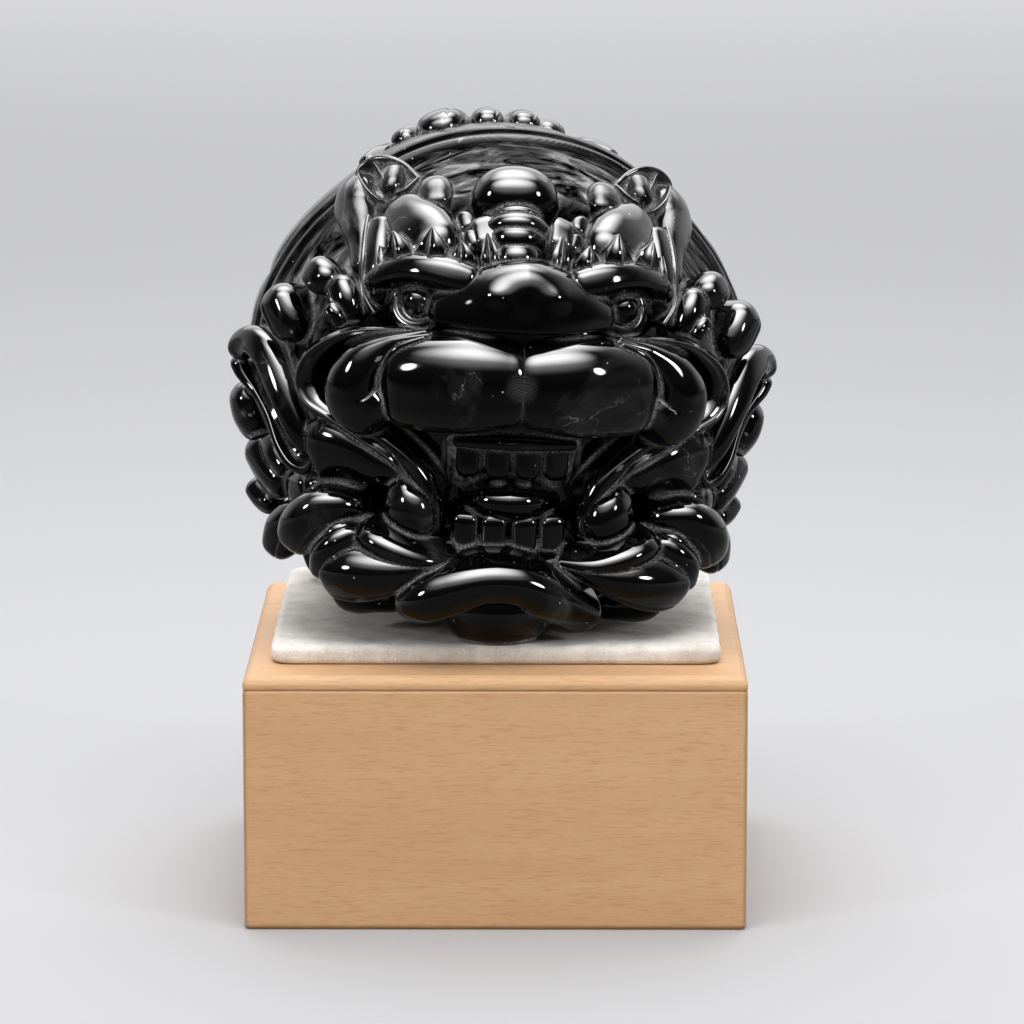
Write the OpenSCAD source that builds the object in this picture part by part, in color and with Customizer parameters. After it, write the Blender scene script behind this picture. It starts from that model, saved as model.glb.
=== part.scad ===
// Dragon turtle carved from a ball of black glassy stone, on a felt pad and a wooden display box.
// The origin is the middle of the box's underside, +Z is up and the face looks along -Y.

/* [Display box] */
// Outside width and depth of the box
box_w = 110; // [100:1:130]
// Height of the box up to the lid's seam
box_h = 53.5; // [45:0.5:70]
// Thickness of the four side boards
wall_t = 6; // [5:0.5:9]
// Thickness of the floor board
floor_t = 5; // [4:0.5:8]
// Easing of the upright corners
corner_r = 1.2; // [0.5:0.1:3]
// Easing of the boards' lower outside edge
foot_ease = 0.9; // [0.3:0.1:2]
// Easing of the boards' upper outside edge, at the seam
seam_ease = 0.4; // [0.2:0.1:1]

/* [Lid] */
// Thickness of the lid board
lid_t = 3.2; // [2.5:0.1:6]
// How far the lid's top edge is rounded in
lid_ease = 1.7; // [0.5:0.1:2.5]
// Width of the battens that locate the lid
batten_w = 6; // [4:0.5:10]
// Depth of the battens below the lid board
batten_h = 5; // [3:0.5:10]
// Play between the battens and the side boards
lid_play = 0.4; // [0.3:0.1:1]

/* [Felt pad] */
// Width of the pad
pad_w = 99; // [80:1:104]
// Depth of the pad, front to back
pad_d = 94; // [80:1:98]
// Thickness of the pad
pad_t = 4.5; // [3:0.5:8]
// How far the pad lies behind the middle of the lid
pad_back = 4; // [0:0.5:5]
// Rounding of the pad's corners
pad_r = 4; // [2:0.5:8]

/* [Carving] */
// Diameter of the ball that the carving is cut from
ball_d = 114; // [100:1:120]
// How far the face is turned to the viewer's right, in degrees
head_turn = 6; // [0:1:10]
// How far the carving leans to the viewer's right, in degrees
head_lean = 3; // [0:1:5]
// How far each lock's rounded tip runs on, in shares of its half width
lock_reach = 0.6; // [0:0.1:0.8]
// Sides of each carved lock
lock_sides = 6; // [6:2:10]
// Steps along each carved lock
lock_steps = 4; // [4:1:10]
// How far each lock is rooted in the stone under it
lock_root = 4; // [2:0.5:6]

/* [Hidden] */
maple = [0.87, 0.72, 0.52];
felt = [0.93, 0.91, 0.88];
obsidian = [0.05, 0.05, 0.06];

lid_z = box_h + lid_t;
pad_z = lid_z + pad_t;
inner_w = box_w - 2 * wall_t;
eps = 0.01;

// Lists below are millimetres on a ball of this diameter, measured from the ball's middle
drawn_d = 114;
ball_scale = ball_d / drawn_d;
ball_up = 57.8;
ball_back = 3;

// Half sizes of the shell, the head under the face and the hollow in the shell that holds it
shell_half = [54.8, 55.5, 51.3];
head_half = [47.5, 47, 47.5];
hollow_half = [53, 43, 51];
hollow_mid = [0, -60, -4];
belly_half = [41, 43, 16];
belly_mid = [0, 2, -44];
mouth_mid = [0, -51, -25.5];
mouth_half = [11, 13, 9.5];
mouth_round = 3;

// Carved locks on the viewer's left: each row is x, y, z, half width and half height off the ball
brow_bulge = [[-25.5, -26, 35.5, 3.6, 4.5], [-23, -31.5, 33, 5.9, 5.8], [-20.5, -36.5, 30.5, 7, 6.4],
              [-18.5, -40.5, 28, 6.2, 5.6]];
brow_ridge = [[-30.5, -36.5, 16.5, 2.2, 3.5], [-30, -38.5, 20.5, 2.6, 4], [-25.5, -42.5, 23.5, 2.9, 4.4],
              [-20.5, -45.5, 24, 3.1, 4.4], [-15, -47, 23.5, 3.2, 4], [-10.5, -48, 22.5, 2.2, 3]];
brow_spikes = [[[-26, -43.5, 20.5, 3.2, 2.2], [-26.5, -45, 25, 3.6, 2.6], [-27, -45, 28.5, 2.2, 2.4],
                [-28, -43, 32.5, 0.4, 0.6]],
               [[-20, -46.5, 21.5, 3.4, 2.2], [-20, -48, 26, 3.8, 2.8], [-20, -48, 30, 2.4, 2.5],
                [-20, -47, 34, 0.4, 0.6]],
               [[-13.5, -48.5, 21.5, 3, 2.2], [-13.5, -50, 25.5, 3.3, 2.6], [-13.5, -49.5, 28.5, 2, 2.2],
                [-13.5, -48.5, 31.5, 0.4, 0.6]]];
eye_mid = [-22.4, -43.5, 17.2];
eye_r = 3.7;
eyelid_r = 5;
eyelid_half = 1.5;
horn_stub = [[-21, -27.5, 36, 4, 4.5], [-18.5, -29, 37.5, 5.2, 5], [-17.5, -29, 37.5, 5, 4.8]];
horn_fans = [[[-26, -24, 37, 0.9, 3], [-24, -24, 38.5, 1.9, 3], [-22, -22.5, 40, 1.6, 2.5]],
             [[-27.5, -24, 36.5, 1.5, 3], [-27, -22, 39, 3, 4], [-26.5, -19, 41.5, 3, 3.5]],
             [[-28, -23.5, 36, 1.2, 3], [-30.5, -21, 38.5, 2.7, 3.5], [-32, -17.5, 41, 2.5, 3]]];
horn_lobe = [[-31.5, -12.5, 39.5, 3.8, 4], [-33.5, -17.5, 36, 4.9, 5], [-34, -20, 33, 4.9, 5],
             [-33.5, -25, 30, 4, 4.6], [-33, -29, 26.5, 3.2, 4], [-33.5, -33, 22, 2, 3]];
temple_ridge = [[-29, -30, 33, 2.4, 3], [-30.5, -33.5, 29, 3, 3], [-31, -36.5, 25, 3.2, 3],
                [-31, -38, 20.5, 3, 3], [-30.5, -39, 16.5, 2.4, 3]];
temple_leaves = [[[-46.5, -31, 5.5, 3.8, 4], [-49, -29, 11, 4.6, 5], [-50.5, -27, 14, 4.6, 5]],
                 [[-40, -36, 17, 3.4, 4], [-41.5, -34, 20, 4, 4.8], [-42.5, -32, 20.5, 4, 4.8]],
                 [[-35.5, -40, 11, 2.6, 3.5], [-37, -39, 16, 3.5, 4], [-38, -37, 19, 3.3, 4]]];
lip_bulb = [[-29, -41.5, -1, 8, 7.8], [-22.5, -46, 0, 10.4, 9.8], [-12, -50, 1, 11.2, 10.6],
            [-3.5, -51, 1, 9.8, 9.8], [2.5, -50, 0.5, 7.5, 8.2]];
lip_lobe = [[-20, -51, 11.5, 0.7, 2], [-28, -48.5, 8, 2.4, 3.5], [-33, -45.5, 3, 5.4, 6.8],
            [-33.5, -43.5, -3, 7, 8.6], [-29.5, -44, -6, 5.6, 7.5]];
lip_fold = [[-24, -49, 11.5, 0.6, 2], [-35, -42.5, 9.5, 1.5, 3.5], [-41.5, -36.5, 4.5, 2.7, 5],
            [-43.5, -33.5, -1.5, 3, 5.5], [-42, -35, -6, 2.4, 5], [-37.5, -38.5, -9, 1.5, 4],
            [-32, -41, -12.5, 1.2, 3.5], [-26, -42.5, -16, 1.3, 3.5], [-22, -42, -20.5, 1.1, 3]];
whisker_faces = [-0.35, -0.93, 0.1];
whisker_floor = [[-56.5, -6.5, -3.5, 3.4, 1.5], [-53, -16.5, -6.5, 3.8, 1.5],
                 [-49.5, -22.5, -12.5, 3.8, 1.5], [-47, -24, -19, 3.4, 1.5], [-45, -26, -21, 2.4, 1.5]];
whisker_roll = [[-58, -15, 2.5, 3.2, 3.2], [-55.5, -19.5, 3.5, 3.4, 3.4], [-53, -24, 1, 3.5, 3.4],
                [-50.5, -27.5, -4, 3.4, 3.4], [-48, -30, -9, 3.2, 3.2], [-46, -31.5, -14.5, 2.7, 3],
                [-43.5, -32, -17.5, 1.8, 2.5]];
whisker_rim = [[-60.5, -11, -3, 0.8, 2], [-58.5, -13, -5, 1, 2.5], [-54.5, -17, -8, 1.1, 2.5],
               [-52, -21, -12.5, 1.1, 2.6], [-49.5, -25, -18.5, 1.1, 2.8], [-47, -28, -22, 1.2, 3],
               [-44, -30.5, -23, 1.3, 3], [-42, -32.5, -20.5, 1.2, 3], [-42, -35, -15, 1, 2.6],
               [-41.5, -37, -9.5, 0.6, 2]];
cheek_band = [[-42.5, -29.5, -20, 5.5, 4.5], [-39.5, -33, -17.5, 7.4, 5.2], [-34.5, -36.5, -18, 6.6, 5],
              [-28.5, -39, -19.5, 4.4, 4.4], [-22.5, -40.5, -21, 2, 3]];
jowl = [[-22.5, -40, -21.5, 1.4, 3], [-22, -41.5, -25, 4.4, 5], [-21, -42.5, -29, 5.9, 6],
        [-20, -42.5, -32, 5, 5.5]];
mouth_fold = [[-32, -40, -10.5, 1.2, 3], [-26.5, -42, -13.5, 1.6, 3.2], [-22, -43, -17.5, 1.9, 3.4],
              [-18.5, -43, -22, 2.2, 3.6], [-16.5, -43, -27, 2.1, 3.4], [-15.5, -43, -32.5, 1.4, 3]];
mane_locks = [[[-51, -12, -17.5, 4, 4], [-54.5, -9, -14, 5, 5], [-55.5, -8.5, -10, 4.6, 5]],
              [[-45.5, -22, -28, 3, 4], [-48, -18, -26.5, 4.6, 5], [-51, -14, -23, 5, 5.2],
               [-52, -12, -21, 4, 5]],
              [[-48, -14.5, -32.5, 2.4, 4], [-51, -11.5, -32, 3, 4], [-52.5, -9.5, -30, 2.5, 4]],
              [[-43.5, -27.5, -31.5, 3, 4], [-47, -23.5, -36.5, 4.4, 5], [-47.5, -20.5, -41.5, 4, 4.8]]];
beard_locks = [[[-27.5, -36, -32.5, 1.6, 3], [-34, -38, -29, 3.4, 4.4], [-40, -38, -30, 5, 5.2],
                [-44, -36, -33.5, 5.4, 5.5], [-44.5, -33, -37, 4.4, 5]],
               [[-30, -39.5, -33, 1.4, 3], [-35, -41, -35, 3, 4], [-38.5, -40, -38.5, 3.6, 5],
                [-38.5, -37, -42.5, 3, 5]],
               [[-11.5, -44.5, -38.5, 0.9, 2.5], [-18.5, -46.5, -40, 2.6, 4], [-25.5, -45, -41.5, 4.8, 6],
                [-33, -41, -42.5, 6.2, 7], [-36.5, -38, -42.5, 5, 6]]];
fore_foot = [[-36.5, -27, -49.5, 3.8, 4], [-31.5, -29.5, -50, 4.6, 4.2], [-27, -29.5, -50.5, 4.6, 4.2],
             [-23, -27.5, -51, 3.8, 4]];
hind_foot = [[-18, 26, -45, 5, 7], [-27, 34, -50, 6, 7], [-33, 40, -53, 5, 5]];

// Carved locks on the middle line
beard_wave = [[-22, -42.5, -48.5, 3.2, 5], [-18.5, -47, -46.5, 4.9, 6.5], [-12.5, -49.5, -44.5, 5, 6],
              [-5.5, -50.5, -42, 4.4, 5.6], [2.5, -50, -42.5, 4.4, 5.6], [10.5, -47.5, -46, 4.8, 5.6],
              [18.5, -43, -50, 3.6, 4.6]];
gum_band = [[-13, -42, -13, 1.2, 2.5], [0, -46, -12.5, 1.5, 3], [13, -42, -13, 1.2, 2.5]];
lower_lip_band = [[-15, -41, -37, 1.8, 4], [0, -46, -39.5, 2.2, 5], [15, -41, -37, 1.8, 4]];
tongue_band = [[-9, -37, -26.5, 2.5, 3], [-5, -42.5, -26, 3.4, 4], [0, -44, -26, 3.8, 4.5],
               [5, -42.5, -26, 3.4, 4], [9, -37, -26.5, 2.5, 3]];
pearl_half = [12.8, 9, 8.8];
pearl_mid = [-1.2, -39.5, -51];
nose_knots = [[-20, -47, 14, 2.2], [-10, -52, 13, 3], [0, -53.5, 12, 3.4], [-10, -52.5, 20, 3.6],
              [0, -56, 20, 4.2], [0, -50, 25.5, 3.8]];

// Upper and lower teeth: middles across the mouth, half width and half thickness
tooth_across = [-9.5, -3.3, 3.3, 9.5];
tooth_half = [3.7, 3];
tooth_depth = 44.5;
tooth_curve = 0.02;
upper_tooth_z = [-12, -19.5];
lower_tooth_z = [-38, -30.5];

// Crest: a knob, and a stem of swelling rings from it down to the nose
crest_knob = [[-1, -26.5, 39.5, 8, 7], [-1.5, -32, 38, 9.8, 8.8], [-1.5, -36.5, 35.5, 9.4, 7.8]];
crest_stem = [[-1, -34.5, 36.5, 9, 7], [-1.5, -38, 35, 8.3, 6.4], [-1.5, -41, 32, 7.3, 5.9],
              [-1.5, -44, 28.5, 6.2, 5.4], [-1.5, -46, 26, 5, 4.9]];
crest_rings = 5;
crest_pinch = 0.82;
crest_leaf = [[-7.5, -48, 25, 2, 2.2], [-7.5, -47.5, 28.5, 1.9, 2.2], [-8, -45.5, 32.5, 0.4, 0.6]];

// Tail: a stem up the back of the shell that opens into curls over the top
tail_stem = [[0, 47, -32, 6, 6], [3, 55, -16, 6.5, 5], [-2, 56, 2, 6, 5], [2, 52, 20, 5.5, 5],
             [0, 43, 33, 5, 5], [0, 34, 40, 4.5, 4.5]];
tail_curls = [[[0, 38, 36, 3, 4], [-12, 29, 42, 4, 4.6], [-19.5, 18, 45, 3.6, 4],
               [-22, 14, 44.5, 2.6, 3.2]],
              [[0, 38, 37, 3, 4], [-7, 29, 44, 5, 4.8], [-12.5, 20, 48, 5.8, 4.6], [-13.5, 16, 48, 5, 4]],
              [[0, 36, 38, 3, 4], [-2.5, 27, 46, 3.8, 4.8], [-3, 18, 49.5, 4, 4.2],
               [-3, 15, 49.5, 3.4, 3.8]],
              [[0, 36, 38, 3, 4], [3, 27, 46, 3.8, 4.8], [5, 18, 49.5, 4, 4.2], [5, 15, 49, 3.4, 3.8]],
              [[1, 38, 37, 3, 4], [7, 28, 44.5, 3.8, 4.6], [11, 16, 47.5, 3.8, 4]],
              [[1, 40, 34, 3, 4], [13, 29, 41, 3.8, 4.4], [20, 15, 44, 3.4, 3.8], [24, 9, 43, 2.2, 3]]];

// Rims of the shell: a collar over the neck from side to side, and a lower rim round the back
collar_y = -9;
collar_half = [4.2, 1.5];
collar_ring = sqrt(1 - (collar_y / shell_half[1]) ^ 2);
collar_rows = [for (a = [-105:15:105])
    [collar_ring * shell_half[0] * sin(a), collar_y, collar_ring * shell_half[2] * cos(a),
     collar_half[0], collar_half[1]]];
rim_z = -15;
rim_half = [2.6, 2.2];
rim_ring = sqrt(1 - (rim_z / shell_half[2]) ^ 2);
rim_rows = [for (a = [-96:12:96])
    [rim_ring * shell_half[0] * sin(a), rim_ring * shell_half[1] * cos(a), rim_z, rim_half[0], rim_half[1]]];

// Scutes, in a plan of the shell that is 1 at the lower rim: u to the right and v to the back
rim_drop = 105;
spine_v = [-0.03, 0.17, 0.35, 0.53, 0.71];
spine_u = [0.11, 0.16];
flank_r = 0.7;
flank_turn = [97, 74, 52, 31, 12];
edge_r = [0.73, 0.96];
edge_turn = [8:23:77];
edge_step = 23;
scute_gap = 0.93;
scute_lift = [-3, 0.7, 1.4];

NODES = ["box_front", "box_back", "box_left", "box_right", "box_floor", "lid_board", "lid_battens",
         "felt_pad", "shell", "head_core", "plastron", "upper_lip", "nose", "forehead_crest",
         "left_lip_folds", "right_lip_folds", "left_brow", "right_brow", "left_cheek", "right_cheek",
         "left_temple", "right_temple", "left_horn", "right_horn", "left_whisker", "right_whisker",
         "beard", "left_beard", "right_beard", "left_mane", "right_mane", "left_forefoot",
         "right_forefoot", "left_hindfoot", "right_hindfoot", "tail", "left_eye", "right_eye",
         "lower_lip", "upper_teeth", "lower_teeth", "tongue", "throat_pearl"];

function unit(v) = v / norm(v);
function place(row) = [row[0], row[1], row[2]];
function sum_list(list, i = 0) = i < len(list) - 1 ? list[i] + sum_list(list, i + 1) : list[i];

// Smooth curve through the rows, for u from 0 to the last row
function along(rows, u) =
    let (last = len(rows) - 1, i = min(floor(u), last - 1), t = u - i)
    let (a = rows[max(i - 1, 0)], b = rows[i], c = rows[i + 1], d = rows[min(i + 2, last)])
    (2 * b + (c - a) * t + (2 * a - 5 * b + 4 * c - d) * t ^ 2 + (3 * b - a - 3 * c + d) * t ^ 3) / 2;

// Length of the rows' path, and the round end that closes a lock in its last half width
function path_length(rows) =
    sum_list([for (i = [1:len(rows) - 1]) norm(place(rows[i]) - place(rows[i - 1]))]);
function round_end(s, cap) = s >= cap ? 1 : max(0.2, sqrt(1 - (1 - s / cap) ^ 2));

// The rows with the last one moved on, so that the rounded tip closes round its middle
function reached(rows, reach) =
    let (last = len(rows) - 1, tip = rows[last], onward = unit(place(tip) - place(rows[last - 1])))
    [for (i = [0:last]) i < last ? rows[i] : concat(place(tip) + onward * tip[3] * reach, [tip[3], tip[4]])];

// One elliptical ring of a lock, standing on the ball with its height pointing away from the middle
// or along faces, and its lower half carried down by root, into the stone under it
function lock_ring(rows, t, sides, root, faces) =
    let (last = len(rows) - 1, u = t * last, row = along(rows, u), step = 0.05, whole = path_length(rows))
    let (ahead = place(along(rows, min(u + step, last))), behind = place(along(rows, max(u - step, 0))))
    let (outward = is_undef(faces) ? place(row) : faces, tangent = unit(ahead - behind))
    let (side = unit(cross(tangent, outward)), lift = cross(side, tangent))
    let (closing = min(round_end(t * whole, rows[0][3]), round_end((1 - t) * whole, rows[last][3])))
    [for (k = [0:sides - 1])
        let (a = 360 * (k + 0.5) / sides, tall = row[4] + (sin(a) < 0 ? root : 0))
        place(row) + closing * (side * row[3] * cos(a) + lift * tall * sin(a))];

// A lock: one skin over rings along the curve, which stand closer together at its ends unless even
module lock(rows, steps = lock_steps, sides = lock_sides, root = lock_root, reach = lock_reach,
            faces = undef, even = false) {
    path = reached(rows, reach);
    rings = [for (i = [0:steps])
        each lock_ring(path, even ? i / steps : (1 - cos(180 * i / steps)) / 2, sides, root, faces)];
    skin = [for (i = [0:steps - 1], k = [0:sides - 1])
        let (a = i * sides + k, b = i * sides + (k + 1) % sides)
        each [[a, b, b + sides], [a, b + sides, a + sides]]];
    ends = [[for (k = [sides - 1:-1:0]) k], [for (k = [0:sides - 1]) steps * sides + k]];
    polyhedron(points = rings, faces = concat(skin, ends));
}

module locks(list, steps = lock_steps, sides = lock_sides)
    for (rows = list)
        lock(rows, steps, sides);

module oval(half, mid = [0, 0, 0], facets = 20)
    translate(mid)
        scale(half)
            hull()
                sphere(r = 1, $fn = facets);

module both_sides() {
    children();
    mirror([1, 0, 0])
        children();
}

// Puts what is measured from the ball's middle in its place over the pad
module posed()
    translate([0, ball_back, pad_z + ball_up * ball_scale])
        rotate([0, head_lean, head_turn])
            scale(ball_scale)
                children();

// Everything lower than the pad's top, where the carving is cut flat to rest
module below_pad()
    translate([-box_w, -box_w, 0])
        cube([2 * box_w, 2 * box_w, pad_z]);

module head_hollow() oval(hollow_half, hollow_mid);

// A point of the shell's dome over a point of the plan, raised by lift
function dome(p, lift) =
    let (r = max(norm(p), eps), up = 90 - rim_drop * r, half = shell_half + [lift, lift, lift])
    [half[0] * cos(up) * p[0] / r, half[1] * cos(up) * p[1] / r, half[2] * sin(up)];

function middle(list) = sum_list(list) / len(list);
function polar(r, a) = [r * sin(a), r * cos(a)];

// One scute: its corners and the middles of its sides, drawn in by the groove round it,
// and crowned towards its own middle
module scute(corners) {
    mid = middle(corners);
    n = len(corners);
    edge = [for (k = [0:n - 1]) each [corners[k], (corners[k] + corners[(k + 1) % n]) / 2]];
    points = concat([for (p = edge) dome(mid + (p - mid) * scute_gap, scute_lift[1])],
                    [dome(mid, scute_lift[2])],
                    [for (p = corners) dome(mid + (p - mid) * scute_gap, scute_lift[0])]);
    hull()
        polyhedron(points = points, faces = [[for (k = [0:len(points) - 1]) k]]);
}

module scutes() {
    for (i = [0:len(spine_v) - 2]) {
        mid_v = (spine_v[i] + spine_v[i + 1]) / 2;
        scute([[-spine_u[0], spine_v[i]], [spine_u[0], spine_v[i]], [spine_u[1], mid_v],
               [spine_u[0], spine_v[i + 1]], [-spine_u[0], spine_v[i + 1]], [-spine_u[1], mid_v]]);
    }
    both_sides() {
        for (i = [0:len(spine_v) - 2])
            scute([[spine_u[1], (spine_v[max(i - 1, 0)] + spine_v[i]) / 2], [spine_u[0], spine_v[i]],
                   [spine_u[1], (spine_v[i] + spine_v[i + 1]) / 2], polar(flank_r, flank_turn[i + 1]),
                   polar(flank_r, (flank_turn[i] + flank_turn[i + 1]) / 2), polar(flank_r, flank_turn[i])]);
        for (a = edge_turn)
            scute([polar(edge_r[0], a), polar(edge_r[1], a), polar(edge_r[1], a + edge_step),
                   polar(edge_r[0], a + edge_step)]);
    }
}

module shell_form() {
    difference() {
        oval(shell_half);
        head_hollow();
    }
    lock(collar_rows, steps = 14, root = 0, reach = 0);
    lock(rim_rows, steps = 11, root = 0, reach = 0);
    scutes();
}

module head_form()
    difference() {
        oval(head_half);
        mouth_hollow();
    }

module mouth_hollow()
    hull()
        for (i = [-1, 1], j = [-1, 1], k = [-1, 1])
            translate(mouth_mid + [i * mouth_half[0], j * mouth_half[1], k * mouth_half[2]])
                sphere(r = mouth_round, $fn = 8);

module lip_form() both_sides() lock(lip_bulb, steps = 7, sides = 10, reach = 0.3);

module nose_form()
    hull()
        both_sides()
            for (knot = nose_knots)
                translate(place(knot))
                    sphere(r = knot[3], $fn = 8);

// The crest's stem, drawn in between its rings
function ringed_stem() =
    [for (i = [0:2 * crest_rings])
        let (row = along(crest_stem, i * (len(crest_stem) - 1) / (2 * crest_rings)))
        let (girth = i % 2 == 0 ? crest_pinch : 1)
        concat(place(row), [row[3] * girth, row[4] * girth])];

module crest_form() {
    lock(crest_knob, sides = 8);
    lock(ringed_stem(), steps = 2 * crest_rings, sides = 8, even = true);
    both_sides() lock(crest_leaf, steps = 4, sides = 4);
}

module lip_folds_form() {
    lock(lip_lobe);
    lock(lip_fold, steps = 8);
}

module brow_form() {
    locks([brow_bulge, brow_ridge]);
    locks(brow_spikes, steps = 4, sides = 4);
}

// An eyeball in a ringed lid that looks straight out of the head
module eye_form()
    translate(eye_mid)
        rotate([0, acos(eye_mid[2] / norm(eye_mid)), atan2(eye_mid[1], eye_mid[0])]) {
            hull()
                sphere(r = eye_r, $fn = 8);
            rotate_extrude($fn = 8)
                translate([eyelid_r, 0])
                    circle(eyelid_half, $fn = 4);
        }

module horn_form() {
    locks([horn_stub, horn_lobe]);
    locks(horn_fans, steps = 5);
}

module temple_form() {
    lock(temple_ridge);
    locks(temple_leaves);
}

// A sunk floor between a thick roll and a thin rim that turns up at the cheek
module whisker_form() {
    lock(whisker_floor, faces = whisker_faces);
    lock(whisker_roll, steps = 6, faces = whisker_faces);
    lock(whisker_rim, steps = 7, sides = 4, faces = whisker_faces);
}

module cheek_form() locks([cheek_band, jowl, mouth_fold]);

module mane_form() locks(mane_locks);

module side_beard_form() locks(beard_locks);

module teeth_form(ends)
    for (x = tooth_across)
        lock([for (z = [ends[0], (ends[0] + ends[1]) / 2, ends[1]])
                  concat([x, tooth_curve * x ^ 2 - tooth_depth, z], tooth_half)],
             steps = 3, sides = 4, root = 0);

module tail_form() {
    lock(tail_stem);
    locks(tail_curls);
}

// The uncut shape of a carved region, by its name
module form(name) {
    if (name == "shell") shell_form();
    if (name == "head_core") head_form();
    if (name == "upper_lip") lip_form();
    if (name == "nose") nose_form();
    if (name == "forehead_crest") crest_form();
    if (name == "left_lip_folds") lip_folds_form();
    if (name == "right_lip_folds") mirror([1, 0, 0]) lip_folds_form();
    if (name == "left_brow") brow_form();
    if (name == "right_brow") mirror([1, 0, 0]) brow_form();
    if (name == "left_cheek") cheek_form();
    if (name == "right_cheek") mirror([1, 0, 0]) cheek_form();
    if (name == "left_temple") temple_form();
    if (name == "right_temple") mirror([1, 0, 0]) temple_form();
    if (name == "left_horn") horn_form();
    if (name == "right_horn") mirror([1, 0, 0]) horn_form();
    if (name == "left_whisker") whisker_form();
    if (name == "right_whisker") mirror([1, 0, 0]) whisker_form();
    if (name == "beard") lock(beard_wave, steps = 9);
    if (name == "left_beard") side_beard_form();
    if (name == "right_beard") mirror([1, 0, 0]) side_beard_form();
    if (name == "left_mane") mane_form();
    if (name == "right_mane") mirror([1, 0, 0]) mane_form();
    if (name == "plastron") oval(belly_half, belly_mid, 12);
    if (name == "left_forefoot") lock(fore_foot);
    if (name == "right_forefoot") mirror([1, 0, 0]) lock(fore_foot);
    if (name == "left_hindfoot") lock(hind_foot);
    if (name == "right_hindfoot") mirror([1, 0, 0]) lock(hind_foot);
    if (name == "tail") tail_form();
    if (name == "left_eye") eye_form();
    if (name == "right_eye") mirror([1, 0, 0]) eye_form();
    if (name == "lower_lip") lock(lower_lip_band);
    if (name == "upper_teeth") {
        lock(gum_band);
        teeth_form(upper_tooth_z);
    }
    if (name == "lower_teeth") teeth_form(lower_tooth_z);
    if (name == "tongue") lock(tongue_band);
    if (name == "throat_pearl") oval(pearl_half, pearl_mid, 14);
}

// A carved region, cut back to the faces of every larger one that comes before it in the list
first_region = search(["shell"], NODES)[0];
module carved(name) {
    at = search([name], NODES)[0];
    difference() {
        posed() form(name);
        posed()
            for (i = [first_region:1:at - 1])
                form(NODES[i]);
        below_pad();
    }
}

// A square with eased corners
module eased_square(w, r) {
    square([w - 2 * r, w], center = true);
    square([w, w - 2 * r], center = true);
    for (x = [-1, 1], y = [-1, 1])
        translate([x * (w / 2 - r), y * (w / 2 - r)])
            circle(r, $fn = 8);
}

// A block whose outline draws in by each layer's second value at its first, a height
module eased_block(layers)
    hull()
        for (layer = layers)
            translate([0, 0, layer[0]])
                linear_extrude(eps)
                    eased_square(box_w - 2 * layer[1], corner_r);

// One mitred side board, turned about the box's upright axis
module side_board(turn)
    rotate(turn)
        intersection() {
            eased_block([[0, foot_ease], [foot_ease, 0], [box_h - seam_ease, 0], [box_h - eps, seam_ease]]);
            linear_extrude(box_h)
                difference() {
                    polygon([[0, 0], [-box_w, -box_w], [box_w, -box_w]]);
                    square(inner_w, center = true);
                }
        }

module box_front() color(maple) side_board(0);
module box_right() color(maple) side_board(90);
module box_back() color(maple) side_board(180);
module box_left() color(maple) side_board(270);

module box_floor()
    color(maple)
        translate([-inner_w / 2, -inner_w / 2, 0])
            cube([inner_w, inner_w, floor_t]);

// The lid board: a small easing below, at the seam, and rounded in towards its top face
module lid_board() {
    layers = [[0, 0.2], [0.1, 0], [0.4, 0], [0.75, 0.35], [1, 1]];
    color(maple)
        translate([0, 0, box_h])
            eased_block([for (layer = layers) [layer[0] * (lid_t - eps), layer[1] * lid_ease]]);
}

// Four mitred battens under the lid that drop inside the side boards
module lid_battens() {
    outer = inner_w - 2 * lid_play;
    color(maple)
        translate([0, 0, box_h - batten_h])
            for (turn = [0:90:270])
                rotate(turn)
                    linear_extrude(batten_h)
                        polygon([[-outer / 2, -outer / 2], [outer / 2, -outer / 2],
                                 [outer / 2 - batten_w, batten_w - outer / 2],
                                 [batten_w - outer / 2, batten_w - outer / 2]]);
}

// The felt pad: a thick sheet with soft corners and edges
module felt_pad() {
    layers = [[0, 0.8], [0.35, 0], [0.7, 0.2], [1, 1.4]];
    color(felt)
        translate([0, pad_back, lid_z])
            hull()
                for (layer = layers, x = [-1, 1], y = [-1, 1])
                    translate([x * (pad_w / 2 - pad_r), y * (pad_d / 2 - pad_r), layer[0] * (pad_t - eps)])
                        cylinder(r = pad_r - layer[1], h = eps, $fn = 12);
}

module shell() color(obsidian) carved("shell");
module head_core() color(obsidian) carved("head_core");
module upper_lip() color(obsidian) carved("upper_lip");
module nose() color(obsidian) carved("nose");
module forehead_crest() color(obsidian) carved("forehead_crest");
module left_lip_folds() color(obsidian) carved("left_lip_folds");
module right_lip_folds() color(obsidian) carved("right_lip_folds");
module left_brow() color(obsidian) carved("left_brow");
module right_brow() color(obsidian) carved("right_brow");
module left_cheek() color(obsidian) carved("left_cheek");
module right_cheek() color(obsidian) carved("right_cheek");
module left_temple() color(obsidian) carved("left_temple");
module right_temple() color(obsidian) carved("right_temple");
module left_horn() color(obsidian) carved("left_horn");
module right_horn() color(obsidian) carved("right_horn");
module left_whisker() color(obsidian) carved("left_whisker");
module right_whisker() color(obsidian) carved("right_whisker");
module beard() color(obsidian) carved("beard");
module left_beard() color(obsidian) carved("left_beard");
module right_beard() color(obsidian) carved("right_beard");
module left_mane() color(obsidian) carved("left_mane");
module right_mane() color(obsidian) carved("right_mane");
module plastron() color(obsidian) carved("plastron");
module left_forefoot() color(obsidian) carved("left_forefoot");
module right_forefoot() color(obsidian) carved("right_forefoot");
module left_hindfoot() color(obsidian) carved("left_hindfoot");
module right_hindfoot() color(obsidian) carved("right_hindfoot");
module tail() color(obsidian) carved("tail");
module left_eye() color(obsidian) carved("left_eye");
module right_eye() color(obsidian) carved("right_eye");
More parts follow.
